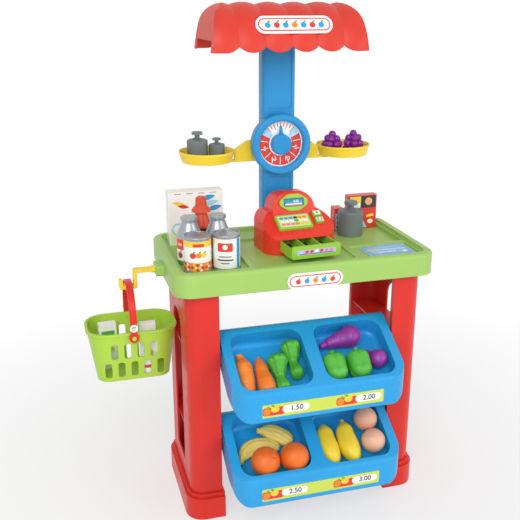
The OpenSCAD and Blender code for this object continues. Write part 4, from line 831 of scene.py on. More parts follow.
class STALL_OT_register(bpy.types.Operator):
    """Finishes, screen, keypad stickers and drawer print of the cash register"""

    bl_idname = "stall.register"
    bl_label = "Cash register"

    def execute(self, context):
        p = paints()
        # Painted light: the till gets the legs' red made lighter, for the light that falls on it
        dress(moulding("till_plastic_with_painted_light", p.till_red_with_painted_light, 0.28, 0.05, 1.4), "register_shell", "register_base")
        dress(moulding("till_green_plastic", p.till_green, 0.34, 0.05, 0.6), "display_bezel", "keypad",
              "cash_drawer", "upper_key", "lower_key")
        dress(ink(DEEP_BLUE), "display_screen")
        out = -Vector(JOINTS["upper_key_press"]["axis"])
        self.screen()
        self.keypad(out)
        self.keys(out)
        self.drawer()
        return {"FINISHED"}

    def screen(self):
        """Blue display with a plain figure row and an orange foot line."""
        seat, w, h = face_of("display_screen", FRONT)
        screen = Sheet("display_print", on_plane(seat))
        screen.lay(bar(w * 0.92, h * 0.34, 1 * MM, 0, h * 0.2), TEAL)
        screen.lay(bar(w * 0.8, h * 0.26, 1 * MM, w * 0.02, -h * 0.02), BLUE, 1)
        screen.lay(bar(w * 0.84, h * 0.16, 0.6 * MM, 0, -h * 0.2), WHITE)
        screen.lay(bar(w * 0.9, h * 0.12, 0.6 * MM, 0, -h * 0.36), ORANGE)
        screen.figures("0.00", h * 0.4, w * 0.12, h * 0.12, WHITE, 2)
        screen.finish("register", "screen_print")

    def keypad(self, out):
        """Coloured keys printed on the keypad's sticker."""
        seat, w, h = face_of("keypad", out)
        pad = Sheet("keypad_print", on_plane(seat), trim().sheet)
        pad.ground(rounded(w * 0.94, h * 0.86, 2 * MM), PALE_LIME)
        rows = ((BLUE, BLUE, BLUE, DARK, ORANGE, ORANGE), (WHITE, WHITE, WHITE, GREEN, WHITE, WHITE),
                (PINK, PINK, PINK, ORANGE, YELLOW, YELLOW))
        cell_w, cell_h = w * 0.86 / 6, h * 0.72 / 3
        for r, row in enumerate(rows):
            for c, code in enumerate(row):
                u, v = (c - 2.5) * cell_w, (1 - r) * cell_h
                pad.lay(bar(cell_w * 0.84, cell_h * 0.66, 0.8 * MM, u, v), code, layers=2)
        pad.finish("register", "white_print")

    def keys(self, out):
        """Stickers on the two pressing keys."""
        for node, body, patch, mark in (("upper_key", "key_one", WHITE, GREEN),
                                        ("lower_key", "key_two", PINK, WHITE)):
            seat, w, h = face_of(node, out)
            cap = Sheet(node + "_print", on_plane(seat), trim().sheet)
            cap.ground(rounded(w * 0.86, h * 0.86, 1.5 * MM), WHITE)
            cap.lay(rounded(w * 0.7, h * 0.66, 1.5 * MM), patch)
            cap.lay(disc(min(w, h) * 0.22), mark, 1)
            cap.finish(body, "white_print")

    def drawer(self):
        """Strip on the drawer's front, and coins in its wells."""
        pull = Vector(JOINTS["drawer_slide"]["axis"])
        seat, w, h = face_of("cash_drawer", pull)
        strip = Sheet("drawer_print", on_plane(seat), trim().sheet)
        strip.ground(rounded(w * 0.8, h * 0.4, 1.2 * MM), LAVENDER)
        for i, code in enumerate((PALE_BLUE, RED, RED, WHITE, RED, PINK, PINK)):
            strip.lay(bar(w * 0.07, h * 0.2, 1 * MM, (i - 3) * w * 0.1, h * 0.04, 20), code)
        strip.lay(bar(w * 0.7, h * 0.05, 0.4 * MM, 0, -h * 0.13), DEEP_BLUE)
        strip.finish("drawer", "white_print")
        self.coins(UP.cross(pull))

    def coins(self, right):
        """Dark lining with plain coins on the floors of the drawer's wells."""
        seat, _, _ = face_of("cash_drawer", UP, right)
        lining = Sheet("drawer_lining", on_plane(seat))
        for number, (low, high) in enumerate(floors_of("cash_drawer", seat)):
            w, h = high.x - low.x, high.y - low.y
            u, v = (low.x + high.x) / 2, (low.y + high.y) / 2
            lining.lay(bar(w * 0.94, h * 0.94, 1 * MM, u, v), NIGHT)
            coin = min(w, h) * 0.22
            for i, (du, dv) in enumerate(((-0.2, 0.26), (0.2, 0.12), (-0.18, -0.12), (0.2, -0.28))):
                code = (SILVER, YELLOW, ORANGE)[(i + number) % 3]
                lining.lay(dot(coin, u + w * du, v + h * dv), code, 1, layers=3)
                lining.lay(dot(coin * 0.66, u + w * du, v + h * dv), GREY, 4)
        lining.finish("drawer", "white_print")


def floors_of(node, seat):
    """Lowest and highest corners, in a frame, of each separate flat floor of a node in its plane."""
    mesh = frame["nodes"][node].data
    back = seat.inverted()
    spans = []
    for polygon in mesh.polygons:
        points = [back @ mesh.vertices[i].co for i in polygon.vertices]
        if max(abs(p.z) for p in points) < FLAT_WITHIN:
            spans.append([min(p.x for p in points), max(p.x for p in points), points])
    floors = []
    for low, high, points in sorted(spans, key=lambda span: span[0]):
        if floors and low < floors[-1][1] - 0.01 * MM:
            floors[-1][1] = max(high, floors[-1][1])
            floors[-1][2] += points
        else:
            floors.append([low, high, list(points)])
    return [corners(points) for _, _, points in floors]


# Basket

class STALL_OT_basket(bpy.types.Operator):
    """Finishes, badges and groceries of the hanging basket"""

    bl_idname = "stall.basket"
    bl_label = "Basket"

    def execute(self, context):
        p = paints()
        t = trim()
        dress(moulding("basket_plastic", p.basket_green, 0.36, 0.05, 0.8), "basket_tub")
        dress(moulding("strap_plastic", p.stand_red, 0.34), "basket_handle")
        dress(ink(WHITE), "basket_carton", "basket_packet")
        pivot = Vector(JOINTS["tub_swing"]["pos_m"])
        low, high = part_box("basket_handle")
        for name, side, edge in (("front_badge", 1, low.y), ("back_badge", -1, high.y)):
            spot = Vector((pivot.x, edge, pivot.z + t.badge_rise))
            badge = Sheet(name, on_plane(flat_frame(spot, RIGHT * side, UP)), t.sheet)
            badge.ground(disc(t.badge_radius), WHITE)
            badge.lay(bar(7 * MM, 2.4 * MM, 1.2 * MM, 0, 1.6 * MM, 12), GREEN)
            badge.lay(bar(5 * MM, 1.6 * MM, 0.8 * MM, 0, -2 * MM, -8), RED)
            badge.finish("handle", "white_print")
        for node, codes in (("basket_carton", (RED, BLUE, YELLOW)), ("basket_packet", (GREEN, DARK, LIME))):
            for number, facing in enumerate((FRONT, -FRONT)):
                grocery_print(node, f"{node}_print_{number + 1}", facing, codes)
        return {"FINISHED"}


def grocery_print(node, name, facing, codes):
    """Band, two round fruits and a foot line on a small carton."""
    seat, w, h = face_of(node, facing)
    sheet = Sheet(name, on_plane(seat))
    sheet.lay(bar(w * 0.8, h * 0.12, 1 * MM, 0, h * 0.3), codes[0])
    sheet.lay(dot(w * 0.2, -w * 0.15, -h * 0.02), codes[1])
    sheet.lay(dot(w * 0.17, w * 0.18, -h * 0.06), codes[2], 1)
    sheet.lay(bar(w * 0.7, h * 0.06, 0.6 * MM, 0, -h * 0.33), codes[0])
    sheet.finish(node + "_piece", "card_board")


# Tins, churns and bottle

class STALL_OT_tins(bpy.types.Operator):
    """Labels and lids of the cans, the churns and the sauce bottle"""

    bl_idname = "stall.tins"
    bl_label = "Tins"

    def execute(self, context):
        p = paints()
        dress(tin_paint("lid_paint", p.tin_grey), "left_can", "right_can", "left_churn", "right_churn")
        dress(moulding("sauce_plastic", p.sauce_red, 0.36, 0.05, 0.6), "sauce_bottle")
        self.soup_can()
        self.plain_can()
        for node in ("left_churn", "right_churn"):
            self.churn_label(node)
        self.bottle_label()
        return {"FINISHED"}

    def soup_can(self):
        """White label with a yellow head band and a foot full of small round fruits."""
        label = Label("left_can", 1.1 * MM, -12)
        h = label.height
        label.paper(0.08, 0.9, WHITE)
        label.stripe(0.74, 0.9, YELLOW)
        label.stripe(0.08, 0.32, ORANGE)
        for row in range(3):
            for i in range(24):
                u = label.around((i + row * 0.5) / 24)
                code = (RED, YELLOW, WHITE, RED, PINK)[(i * 2 + row) % 5]
                label.lay(dot(2.0 * MM, u, h * (0.125 + 0.07 * row), steps=12), code, 1)
        for u in (0.0, label.around(0.5)):
            label.lay(bar(18 * MM, 5 * MM, 2.5 * MM, u + 2 * MM, h * 0.8), RED, 1, 3)
            fruits = ((-7, 5, 0.52, RED), (2, 4.6, 0.53, ORANGE), (10, 4.8, 0.54, YELLOW))
            for du, radius, share, code in fruits:
                label.lay(dot(radius * MM, u + du * MM, h * share, 0.9), code, 0, 3)
                label.lay(leaf(5 * MM, 2.4 * MM, u + du * MM, h * 0.59, 35), GREEN, 1, 2)
        label.finish("left_can_piece", "white_print")

    def plain_can(self):
        """White label with a red patch, grey rules and a blue edge."""
        label = Label("right_can", 1.1 * MM, -14)
        h = label.height
        label.paper(0.09, 0.9, WHITE)
        for u in (0.0, label.around(0.5)):
            label.lay(bar(24 * MM, 14 * MM, 2 * MM, u - 2 * MM, h * 0.68), RED, 0, 5)
            label.lay(dot(4 * MM, u - 2 * MM, h * 0.69), WHITE, 1, 2)
            label.lay(leaf(7 * MM, 3 * MM, u - 1 * MM, h * 0.72, 35), GREEN, 2, 2)
            for i, (length, code) in enumerate(((20, GREY), (26, DARK), (14, GREY))):
                rule = bar(length * MM, 2.2 * MM, 1 * MM, u - 2 * MM, h * (0.42 - 0.09 * i))
                label.lay(rule, code, 0, 5)
            label.lay(bar(7 * MM, h * 0.8, 0.5 * MM, u + 21 * MM, h * 0.495), BLUE, 0, 3)
        label.finish("right_can_piece", "white_print")

    def churn_label(self, node):
        """Red label low on a churn, with dark berries and leaves below a band."""
        label = Label(node, 0.0, -14)
        h = label.height
        label.paper(0.04, 0.56, WHITE, LABEL_GAP)
        label.stripe(0.34, 0.56, RED)
        label.stripe(0.04, 0.1, GREEN)
        for i in range(8):
            u = label.around(i / 8)
            label.lay(dot(5 * MM, u, h * 0.22, steps=18), "b3261e", 0, 3)
            label.lay(leaf(6 * MM, 3 * MM, u, h * 0.28, 50), GREEN, 1, 2)
            label.lay(bar(8 * MM, 4 * MM, 2 * MM, u, h * 0.45), YELLOW if i % 2 else CREAM, 1, 3)
        label.finish(node + "_piece", "white_print")

    def bottle_label(self):
        """Orange label with a dark band and round tomatoes."""
        label = Label("sauce_bottle", 0.0, -14)
        h = label.height
        label.paper(0.06, 0.47, ORANGE, LABEL_GAP)
        label.stripe(0.36, 0.47, DARK)
        for i in range(6):
            u = label.around(i / 6)
            label.lay(dot(5.5 * MM, u, h * 0.22, steps=18), RED, 0, 3)
            label.lay(leaf(6 * MM, 3 * MM, u, h * 0.27, 120), GREEN, 1, 2)
        label.finish("sauce_bottle_piece", "white_print")


# Cartons, boxes and card

class STALL_OT_cartons(bpy.types.Operator):
    """Prints of the milk carton, the two boxes and the pay card"""

    bl_idname = "stall.cartons"
    bl_label = "Cartons"

    def execute(self, context):
        dress(ink(WHITE), "milk_carton")
        dress(ink(RED), "tall_box", "small_box")
        dress(ink(PALE_BLUE), "pay_card")
        for number, facing in enumerate((FRONT, -FRONT)):
            self.milk_print(f"milk_print_{number + 1}", facing)
            self.tall_print(f"tall_box_print_{number + 1}", facing)
            self.small_print(f"small_box_print_{number + 1}", facing)
        self.card_print()
        return {"FINISHED"}

    def milk_print(self, name, facing):
        """Pale green wave, round marks and coloured leaves on white board."""
        seat, w, h = face_of("milk_carton", facing)
        sheet = Sheet(name, on_plane(seat))
        wave = [(w * (i / 16 - 0.5) * 0.96, h * (-0.2 + 0.05 * math.sin(i * 0.8))) for i in range(17)]
        sheet.lay(wave[::-1] + [(-w * 0.48, -h * 0.47), (w * 0.48, -h * 0.47)], "e4efc2")
        sheet.lay(dot(w * 0.09, w * 0.34, -h * 0.12), GREEN, 1)
        sheet.lay(dot(w * 0.12, -w * 0.34, -h * 0.2), PALE_BLUE, 1)
        sheet.lay(dot(w * 0.085, -w * 0.34, -h * 0.2), WHITE, 2)
        for i, code in enumerate((BLUE, PALE_BLUE, BLUE)):
            u, v = w * (0.08 + 0.06 * i), h * (0.34 - 0.1 * i)
            sheet.lay(leaf(w * 0.3, h * 0.1, u, v, 12), code, i)
        sheet.lay(leaf(w * 0.3, h * 0.08, -w * 0.44, h * 0.32, -18), YELLOW)
        sheet.lay(leaf(w * 0.22, h * 0.07, -w * 0.34, h * 0.24, -8), RED, 1)
        for i in range(4):
            sheet.lay(bar(w * 0.12, h * 0.014, 0.3 * MM, w * (i - 1.5) * 0.22, h * 0.465), GREY)
        sheet.finish("milk_carton_piece", "card_board")

    def tall_print(self, name, facing):
        """Dark head with a sun, a pale blue corner and slanting bars."""
        seat, w, h = face_of("tall_box", facing)
        sheet = Sheet(name, on_plane(seat))
        sheet.lay(bar(w * 0.96, h * 0.36, 1 * MM, 0, h * 0.3), DARK)
        sheet.lay(bar(w * 0.4, h * 0.2, 1 * MM, -w * 0.26, h * 0.37), YELLOW, 1)
        sheet.lay(dot(w * 0.13, w * 0.22, h * 0.31), "f0b07a", 1)
        sheet.lay(bar(w * 0.34, h * 0.14, 1 * MM, -w * 0.24, h * 0.2), WHITE, 2)
        corner = [(-w * 0.48, -h * 0.48), (w * 0.2, -h * 0.48), (-w * 0.2, h * 0.08), (-w * 0.48, h * 0.08)]
        sheet.lay(corner, PALE_BLUE)
        for i, code in enumerate((TEAL, WHITE, DEEP_BLUE)):
            sheet.lay(bar(w * 0.3, h * 0.07, 0.5 * MM, -w * 0.22, -h * (0.02 + 0.15 * i), 12), code, 1)
        sheet.lay(bar(w * 0.26, h * 0.08, 0.5 * MM, w * 0.28, -h * 0.12, 8), YELLOW)
        sheet.lay(dot(w * 0.1, w * 0.3, -h * 0.3, 0.8), CREAM)
        sheet.finish("tall_box_piece", "card_board")

    def small_print(self, name, facing):
        """Blue panel with three dark windows under a red head."""
        seat, w, h = face_of("small_box", facing)
        sheet = Sheet(name, on_plane(seat))
        sheet.lay(bar(w * 0.86, h * 0.72, 0.6 * MM, 0, -h * 0.1), PALE_BLUE)
        for v, code in ((0.1, DEEP_BLUE), (-0.14, TEAL), (-0.34, DARK)):
            sheet.lay(bar(w * 0.6, h * 0.16, 0.6 * MM, 0, h * v), code, 1)
        sheet.finish("small_box_piece", "card_board")

    def card_print(self):
        """Blue pay card with pale streaks, a chip, a leaf and a plain row of figures."""
        t = trim()
        low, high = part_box("pay_card")
        middle = Vector(((low.x + high.x) / 2, (low.y + high.y) / 2, high.z))
        seat = Matrix.Translation(middle) @ Matrix.Rotation(t.card_turn, 4, "Z")
        w, h = t.card_width, t.card_depth
        card = Sheet("pay_card_print", on_plane(seat))
        card.lay(rounded(w * 0.96, h * 0.95, 2.4 * MM), "6fb0ea")
        for i, code in enumerate(("8fc8f2", "b9e0f8", "8fc8f2")):
            card.lay(bar(w * 0.88, h * 0.14, h * 0.07, 0, h * (0.28 - 0.22 * i), -4), code, 1)
        card.lay(bar(w * 0.18, h * 0.17, 1.5 * MM, -w * 0.3, h * 0.06), YELLOW, 2)
        card.lay(leaf(w * 0.16, h * 0.16, w * 0.26, -h * 0.3, 35), WHITE, 2)
        card.figures("1234 5678", h * 0.16, -w * 0.1, -h * 0.18, WHITE, 2)
        card.finish("pay_card_piece", "screen_print")


# Play food

class Seat:
    """Frame of a good lying in a bin: across, up the slope and out of the bin's floor, with its own box."""

    def __init__(self, node):
        self.node = node
        out = Vector(JOINTS[node + "_lift"]["axis"]).normalized()
        self.frame = flat_frame(Vector(), RIGHT, out.cross(RIGHT))
        back = self.frame.inverted()
        self.low, self.high = corners([back @ v.co for v in frame["nodes"][node].data.vertices])
        self.size = self.high - self.low
        self.middle = (self.low + self.high) / 2

    def finish(self, mesh, material, slot, smooth):
        """The food as a piece in place of its solid."""
        mesh.transform(self.frame)
        bmesh.ops.recalc_face_normals(mesh, faces=mesh.faces)
        made = piece(self.node + "_food", mesh, [material], self.node + "_piece", smooth)
        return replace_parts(made, self.node)


def fill(goods, make, skin, slot, smooth):
    """Makes like goods, each given as its node and what its maker needs."""
    for node, *details in goods:
        seat = Seat(node)
        seat.finish(make(seat, *details), skin, slot, smooth)


def loft(mesh, rings):
    """Closed skin over rings of points, with a point at each end."""
    loops = [[mesh.verts.new(point) for point in ring] for ring in rings]
    count = len(loops[0])
    for a, b in zip(loops, loops[1:]):
        for i in range(count):
            mesh.faces.new([a[i], a[(i + 1) % count], b[(i + 1) % count], b[i]])
    for ring, points in ((loops[0], rings[0]), (loops[-1], rings[-1])):
        tip = mesh.verts.new(sum(points, Vector()) / count)
        for i in range(count):
            mesh.faces.new([ring[i], ring[(i + 1) % count], tip])


def smooth_step(t):
    """Eased share of the way from 0 to 1."""
    return t * t * (3 - 2 * t)


def profile(t, knots):
    """Smooth radius at t from a few (place, radius) knots."""
    for (t0, r0), (t1, r1) in zip(knots, knots[1:]):
        if t <= t1:
            return r0 + (r1 - r0) * smooth_step((t - t0) / (t1 - t0))
    return knots[-1][1]


def body_rings(start, axis, length, radius_of, sides=32, count=36, tilt=None, bulge=None):
    """Rings square to an axis, closer at the ends, with radii from a function of place and angle."""
    axis = axis.normalized()
    side = axis.orthogonal() if tilt is None else tilt.normalized()
    other = axis.cross(side)
    rings = []
    for i in range(count + 1):
        t = 0.5 - 0.5 * math.cos(math.pi * (0.015 + 0.97 * i / count))
        centre = start + axis * length * t + (bulge(t) if bulge else Vector())
        ring = []
        for j in range(sides):
            angle = math.tau * j / sides
            r = radius_of(t, angle)
            ring.append(centre + side * r * math.cos(angle) + other * r * math.sin(angle))
        rings.append(ring)
    return rings


def dome(t, end, power=0.5):
    """Rounding of the first stretch of a body."""
    return min(1.0, max(1e-3, 1 - (1 - t / end) ** 2) ** power) if t < end else 1.0


def stem(mesh, start, direction, length, r_foot, r_head, bend=Vector()):
    """A short stalk with a flared foot and a cut end."""
    def radius(t, _):
        return (r_head + (r_foot - r_head) * (1 - t) ** 3) * dome(1 - t, 0.08)

    def sway(t):
        return bend * t * t

    loft(mesh, body_rings(start, direction, length, radius, 14, 10, None, sway))


def carrot(seat, crown_up):
    """Carrot with creases across it, lying on the bin's floor."""
    mesh = bmesh.new()
    s = seat.size
    stub = s.y * (0.085 if crown_up else 0.03)
    big = s.x * 0.5
    start = Vector((seat.middle.x, seat.low.y, seat.low.z))
    crown_knots = ((0.0, big * 0.7), (0.45, big * 0.94), (0.72, big), (1.0, big * 0.9))
    tip_knots = ((0.0, big * 0.98), (0.22, big), (0.65, big * 0.76), (1.0, big * 0.5))
    knots = crown_knots if crown_up else tip_knots
    head = 0.24 if crown_up else 0.12

    def radius(t, angle):
        r = profile(t, knots) * dome(t, 0.13) * dome(1 - t, head)
        for i in range(9):
            place = 0.1 + 0.09 * i + 0.02 * math.sin(i * 5.1)
            depth = 0.045 * (0.5 + 0.5 * math.cos(angle - i * 2.3))
            r *= 1 - depth * math.exp(-((t - place) / 0.012) ** 2)
        return r

    def lie(t):
        return Vector((0, 0, profile(min(max(t, 0.1), 0.9), knots)))

    length = s.y - stub
    loft(mesh, body_rings(start, UPHILL, length, radius, 36, 90, RIGHT, lie))
    top = start + Vector((0, length * 0.95, lie(1.0).z))
    side = Vector((-3 * MM, 0, 2 * MM)) if crown_up else Vector((1 * MM, 0, 0))
    foot, cut = (big * 0.46, big * 0.34) if crown_up else (big * 0.2, big * 0.12)
    stem(mesh, top, Vector((0, 1, 0.1)), stub + length * 0.05, foot, cut, side)
    return mesh


def leafy_head(seat):
    """Leafy green with a bulbous foot, a waist and a fan of ribbed leaves."""
    mesh = bmesh.new()
    s = seat.size
    r = s.x / 2
    start = Vector((seat.middle.x, seat.low.y, seat.low.z))
    knots = ((0.0, r * 0.56), (0.15, r * 0.7), (0.44, r * 0.47), (0.6, r * 0.72), (0.79, r), (1.0, r * 0.84))

    def radius(t, angle):
        core = profile(t, knots) * dome(t, 0.1) * dome(1 - t, 0.17, 0.42)
        rib = 0.09 + 0.06 * t
        blade = abs(math.cos(3.5 * angle + 0.3)) ** 0.6
        return core * (1 - rib + rib * blade) * (1 + 0.035 * math.sin(15 * angle + 9 * t) * t * t)

    def lie(t):
        return Vector((0, 0, profile(t, knots)))

    loft(mesh, body_rings(start, UPHILL, s.y, radius, 84, 64, RIGHT, lie))
    for side in (-1, 0, 1):
        foot = start + Vector((side * r * 0.2, s.y * 0.5, profile(0.5, knots) * 1.78))
        vein = Vector((side * 0.34, 1, 0.42 - 0.1 * abs(side)))
        stem(mesh, foot, vein, s.y * 0.4, r * 0.1, r * 0.06, Vector((0, 0, -r * 0.06)))
    return mesh


def pepper(seat):
    """Four-lobed pepper with a dented crown and a cut stalk."""
    mesh = bmesh.new()
    s = seat.size
    stalk, sunk = 8 * MM, 7 * MM
    r = s.x / 2
    start = Vector((seat.middle.x, seat.low.y, seat.low.z + r))
    knots = ((0.0, r * 0.78), (0.3, r * 0.92), (0.72, r * 1.02), (1.0, r * 0.96))

    def radius(t, angle):
        lobes = abs(math.cos(2 * angle)) ** 0.5
        depth = 0.15 + 0.05 * abs(2 * t - 1)
        ends = dome(t, 0.24, 0.45) * dome(1 - t, 0.2, 0.38)
        return profile(t, knots) * ends * (1 - depth + depth * lobes)

    rings = body_rings(start, UPHILL, s.y - stalk, radius, 72, 44, Vector((1, 0, 1)))
    crown = rings[-1][0].y
    for ring in rings[-6:]:
        for point in ring:
            out = math.hypot(point.x - start.x, point.z - start.z) / r
            point.y -= 5 * MM * max(0.0, 1 - out / 0.75) ** 1.5
    loft(mesh, rings)
    foot = Vector((start.x, crown - sunk, start.z))
    length = s.y - (crown - seat.low.y) + sunk
    stem(mesh, foot, Vector((0.05, 1, 0.2)), length, 6 * MM, 2.9 * MM, Vector((2 * MM, 0, 1 * MM)))
    return mesh


def eggplant(seat):
    """Eggplant with its round end to the right and a drawn-out neck."""
    mesh = bmesh.new()
    s = seat.size
    r = s.z / 2
    start = Vector((seat.high.x, seat.middle.y, seat.low.z))
    knots = ((0.0, r), (0.3, r), (0.6, r * 0.7), (0.86, r * 0.5), (1.0, r * 0.34))
    bend, stalk, sunk = 5 * MM, 7 * MM, 4 * MM

    def radius(t, angle):
        return profile(t, knots) * dome(t, 0.34) * dome(1 - t, 0.08) * (1 + 0.012 * math.cos(5 * angle))

    def lie(t):
        return Vector((0, -bend * t * t, r + (profile(t, knots) - r) * 0.8))

    length = s.x - stalk
    loft(mesh, body_rings(start, -RIGHT, length, radius, 44, 48, UPHILL, lie))
    neck = start + Vector((-length + sunk, 0, 0)) + lie(1.0)
    stem(mesh, neck, Vector((-1, -0.15, 0.1)), stalk + sunk, r * 0.3, r * 0.19, Vector((0, -2 * MM, 0)))
    return mesh


def turned_fruit(seat, axis, knots, lobes=0, depth=0.0, cleft=0.0):
    """Fruit turned about an axis through its middle, with ribs or a soft cleft."""
    mesh = bmesh.new()
    axis = Vector(axis).normalized()
    r = min(seat.size) / 2
    centre = Vector((seat.middle.x, seat.middle.y, seat.low.z + r))
    side = axis.orthogonal().normalized()
    other = axis.cross(side)
    rings = []
    sides, count = 48, 40
    for i in range(count + 1):
        along, out = outline_at(0.012 + 0.976 * i / count, knots)
        ring = []
        for j in range(sides):
            angle = math.tau * j / sides
            reach = out * r * (1 + depth * math.cos(lobes * angle))
            reach *= 1 - cleft * math.exp(-(angle - math.pi) ** 2 / 0.05)
            ring.append(centre + axis * along * r + side * reach * math.cos(angle)
                        + other * reach * math.sin(angle))
        rings.append(ring)
    loft(mesh, rings)
    return mesh


def outline_at(t, knots):
    """Point on a smooth outline through (along, out) knots, by its share of the way."""
    place = t * (len(knots) - 1)
    i = min(int(place), len(knots) - 2)
    f = place - i
    p = [Vector(knots[max(0, min(len(knots) - 1, i + k))]) for k in (-1, 0, 1, 2)]
    point = 0.5 * (2 * p[1] + (p[2] - p[0]) * f + (2 * p[0] - 5 * p[1] + 4 * p[2] - p[3]) * f * f
                   + (3 * p[1] - p[0] - 3 * p[2] + p[3]) * f ** 3)
    return point.x, max(point.y, 0.002)


def ball_knots(top_dimple, foot_dimple):
    """Outline of a ball with a dimple at each pole."""
    knots = [(-1 + foot_dimple, 0.0), (-0.985, 0.12)]
    for degrees in range(-70, 71, 20):
        a = math.radians(degrees)
        knots.append((math.sin(a), math.cos(a)))
    return knots + [(0.985, 0.13), (1 - top_dimple, 0.0)]


def onion_knots():
    """Outline of an onion with a drawn-out neck."""
    return [(-0.97, 0.0), (-0.96, 0.2), (-0.7, 0.74), (-0.2, 0.99), (0.25, 0.97), (0.66, 0.72), (0.95, 0.4),
            (1.2, 0.24), (1.42, 0.2), (1.5, 0.08), (1.51, 0.0)]


def bananas(seat, pivot, bend, start, end):
    """Bunch of four bananas bent side by side round a point, drawn together at the stalk."""
    t = trim()
    mesh = bmesh.new()
    r = t.finger / 2
    count, sides = 40, 30
    knots = ((0.0, 0.5), (0.16, 0.92), (0.5, 1.0), (0.74, 0.8), (0.92, 0.55), (1.0, 0.72))
    rises, late = (0.0, 2.0, 2.4, 0.0), (3, 0, 1, 4)
    for k in range(4):
        own = bend + (k - 1.5) * t.finger_step
        lift = seat.low.z + r + rises[k] * MM
        shown = start + late[k]
        rings = []
        for i in range(count + 1):
            share = i / count
            angle = math.radians(shown + (end - shown) * share)
            drawn = smooth_step(max(0.0, (share - 0.62) / 0.38))
            width = r * profile(share, knots) * (dome(share, 0.05) * dome(1 - share, 0.03))
            out = Vector((math.cos(angle), math.sin(angle), 0))
            centre = Vector((pivot.x, pivot.y, lift)) + out * (own + (bend - own) * drawn)
            ring = []
            for j in range(sides):
                a = math.tau * j / sides
                reach = width * (1 - 0.06 * (1 - abs(math.cos(2.5 * a))))
                ring.append(centre + out * reach * math.cos(a) + Vector((0, 0, reach * math.sin(a))))
            rings.append(ring)
        loft(mesh, rings)
    return mesh


def mango(seat, nub):
    """Long yellow fruit, fuller below its middle, with a small nub."""
    mesh = bmesh.new()
    s = seat.size
    r = s.x / 2
    start = Vector((seat.middle.x, seat.low.y, seat.low.z + r))
    knots = ((0.0, r * 0.74), (0.42, r), (0.75, r * 0.86), (1.0, r * 0.56))

    def radius(t, angle):
        return profile(t, knots) * dome(t, 0.26) * dome(1 - t, 0.22) * (1 + 0.01 * math.cos(3 * angle))

    def sway(t):
        return Vector((-2.5 * MM * math.sin(math.pi * t), 0, -(r * 0.12) * t))

    loft(mesh, body_rings(start, UPHILL, s.y - 2 * MM, radius, 40, 44, RIGHT, sway))
    if nub:
        stem(mesh, start + Vector((0, s.y - 8 * MM, -r * 0.1)), Vector((0, 1, 0.1)), 9 * MM, 4 * MM, 2.4 * MM)
    return mesh


class STALL_OT_vegetables(bpy.types.Operator):
    """Play vegetables in the upper bin"""

    bl_idname = "stall.vegetables"
    bl_label = "Vegetables"

    def execute(self, context):
        p = paints()
        skin = food("carrot_skin", p.carrot_orange, paint("f27322"), 0.5, 520.0)
        fill((("left_carrot", True), ("right_carrot", False)), carrot, skin, "orange_plastic", 60)
        skin = food("leaf_skin", p.leaf_green, paint("2f8a2c"), 0.55, 420.0, 0.3)
        fill((("left_greens",), ("right_greens",)), leafy_head, skin, "leaf_plastic", 80)
        skin = food("pepper_skin", p.pepper_green, paint("2f9130"), 0.45, 800.0, 0.1)
        fill((("left_pepper",), ("right_pepper",)), pepper, skin, "leaf_plastic", 80)
        skin = food("eggplant_skin", p.eggplant_purple, paint("7b2488"), 0.5, 900.0, 0.08)
        fill((("eggplant",),), eggplant, skin, "grape_plastic", 80)
        lean = (-math.sin(ONION_TURN), math.cos(ONION_TURN), 0.0)
        fill((("onion", lean, onion_knots(), 14, 0.012),), turned_fruit, skin, "grape_plastic", 80)
        return {"FINISHED"}


class STALL_OT_fruit(bpy.types.Operator):
    """Play fruit in the lower bin"""

    bl_idname = "stall.fruit"
    bl_label = "Fruit"

    def execute(self, context):
        p = paints()
        skin = food("banana_skin", p.banana_yellow, paint("f2cc52"), 0.45, 480.0, 0.1)
        pivot = Seat("left_orange").middle
        bunches = (("front_bananas", pivot, 37.5 * MM, 36, 166), ("back_bananas", pivot, 65.0 * MM, 30, 88))
        fill(bunches, bananas, skin, "banana_plastic", 70)
        skin = food("orange_skin", p.orange_orange, paint("ea5f12"), 0.5, 560.0, 0.5)
        ball = (ball_knots(0.09, 0.04), 5, 0.006)
        fill((("left_orange", (0.5, -0.2, 1.0), *ball), ("right_orange", (-0.9, 0.4, 0.8), *ball)),
             turned_fruit, skin, "orange_plastic", 80)
        skin = food("mango_skin", p.mango_yellow, paint("f0c626"), 0.4, 700.0, 0.08)
        fill((("left_mango", False), ("right_mango", True)), mango, skin, "banana_plastic", 70)
        skin = food("peach_skin", p.peach_pink, paint("eb9f86"), 0.55, 900.0, 0.06)
        ball = (ball_knots(0.07, 0.03), 0, 0.0, 0.05)
        fill((("back_peach", (0.2, 1.0, 0.5), *ball), ("front_peach", (0.7, 0.8, 0.3), *ball)),
             turned_fruit, skin, "peach_plastic", 80)
        return {"FINISHED"}


# Studio

def seen_rays(tree):
    """1 for rays from the camera, from gloss and through glass."""
    path = tree.nodes.new("ShaderNodeLightPath")
    total = path.outputs["Is Camera Ray"]
    for label in ("Is Glossy Ray", "Is Transmission Ray"):
        node = tree.nodes.new("ShaderNodeMath")
        node.operation = "MAXIMUM"
        tree.links.new(total, node.inputs[0])
        tree.links.new(path.outputs[label], node.inputs[1])
        total = node.outputs[0]
    return total


def mixed(tree, share, first, second, sink):
    """Sends two shaders, mixed by a share, to an output."""
    mix = tree.nodes.new("ShaderNodeMixShader")
    for source, socket in ((share, 0), (first.outputs[0], 1), (second.outputs[0], 2)):
        tree.links.new(source, mix.inputs[socket])
    tree.links.new(mix.outputs[0], tree.nodes[sink].inputs["Surface"])


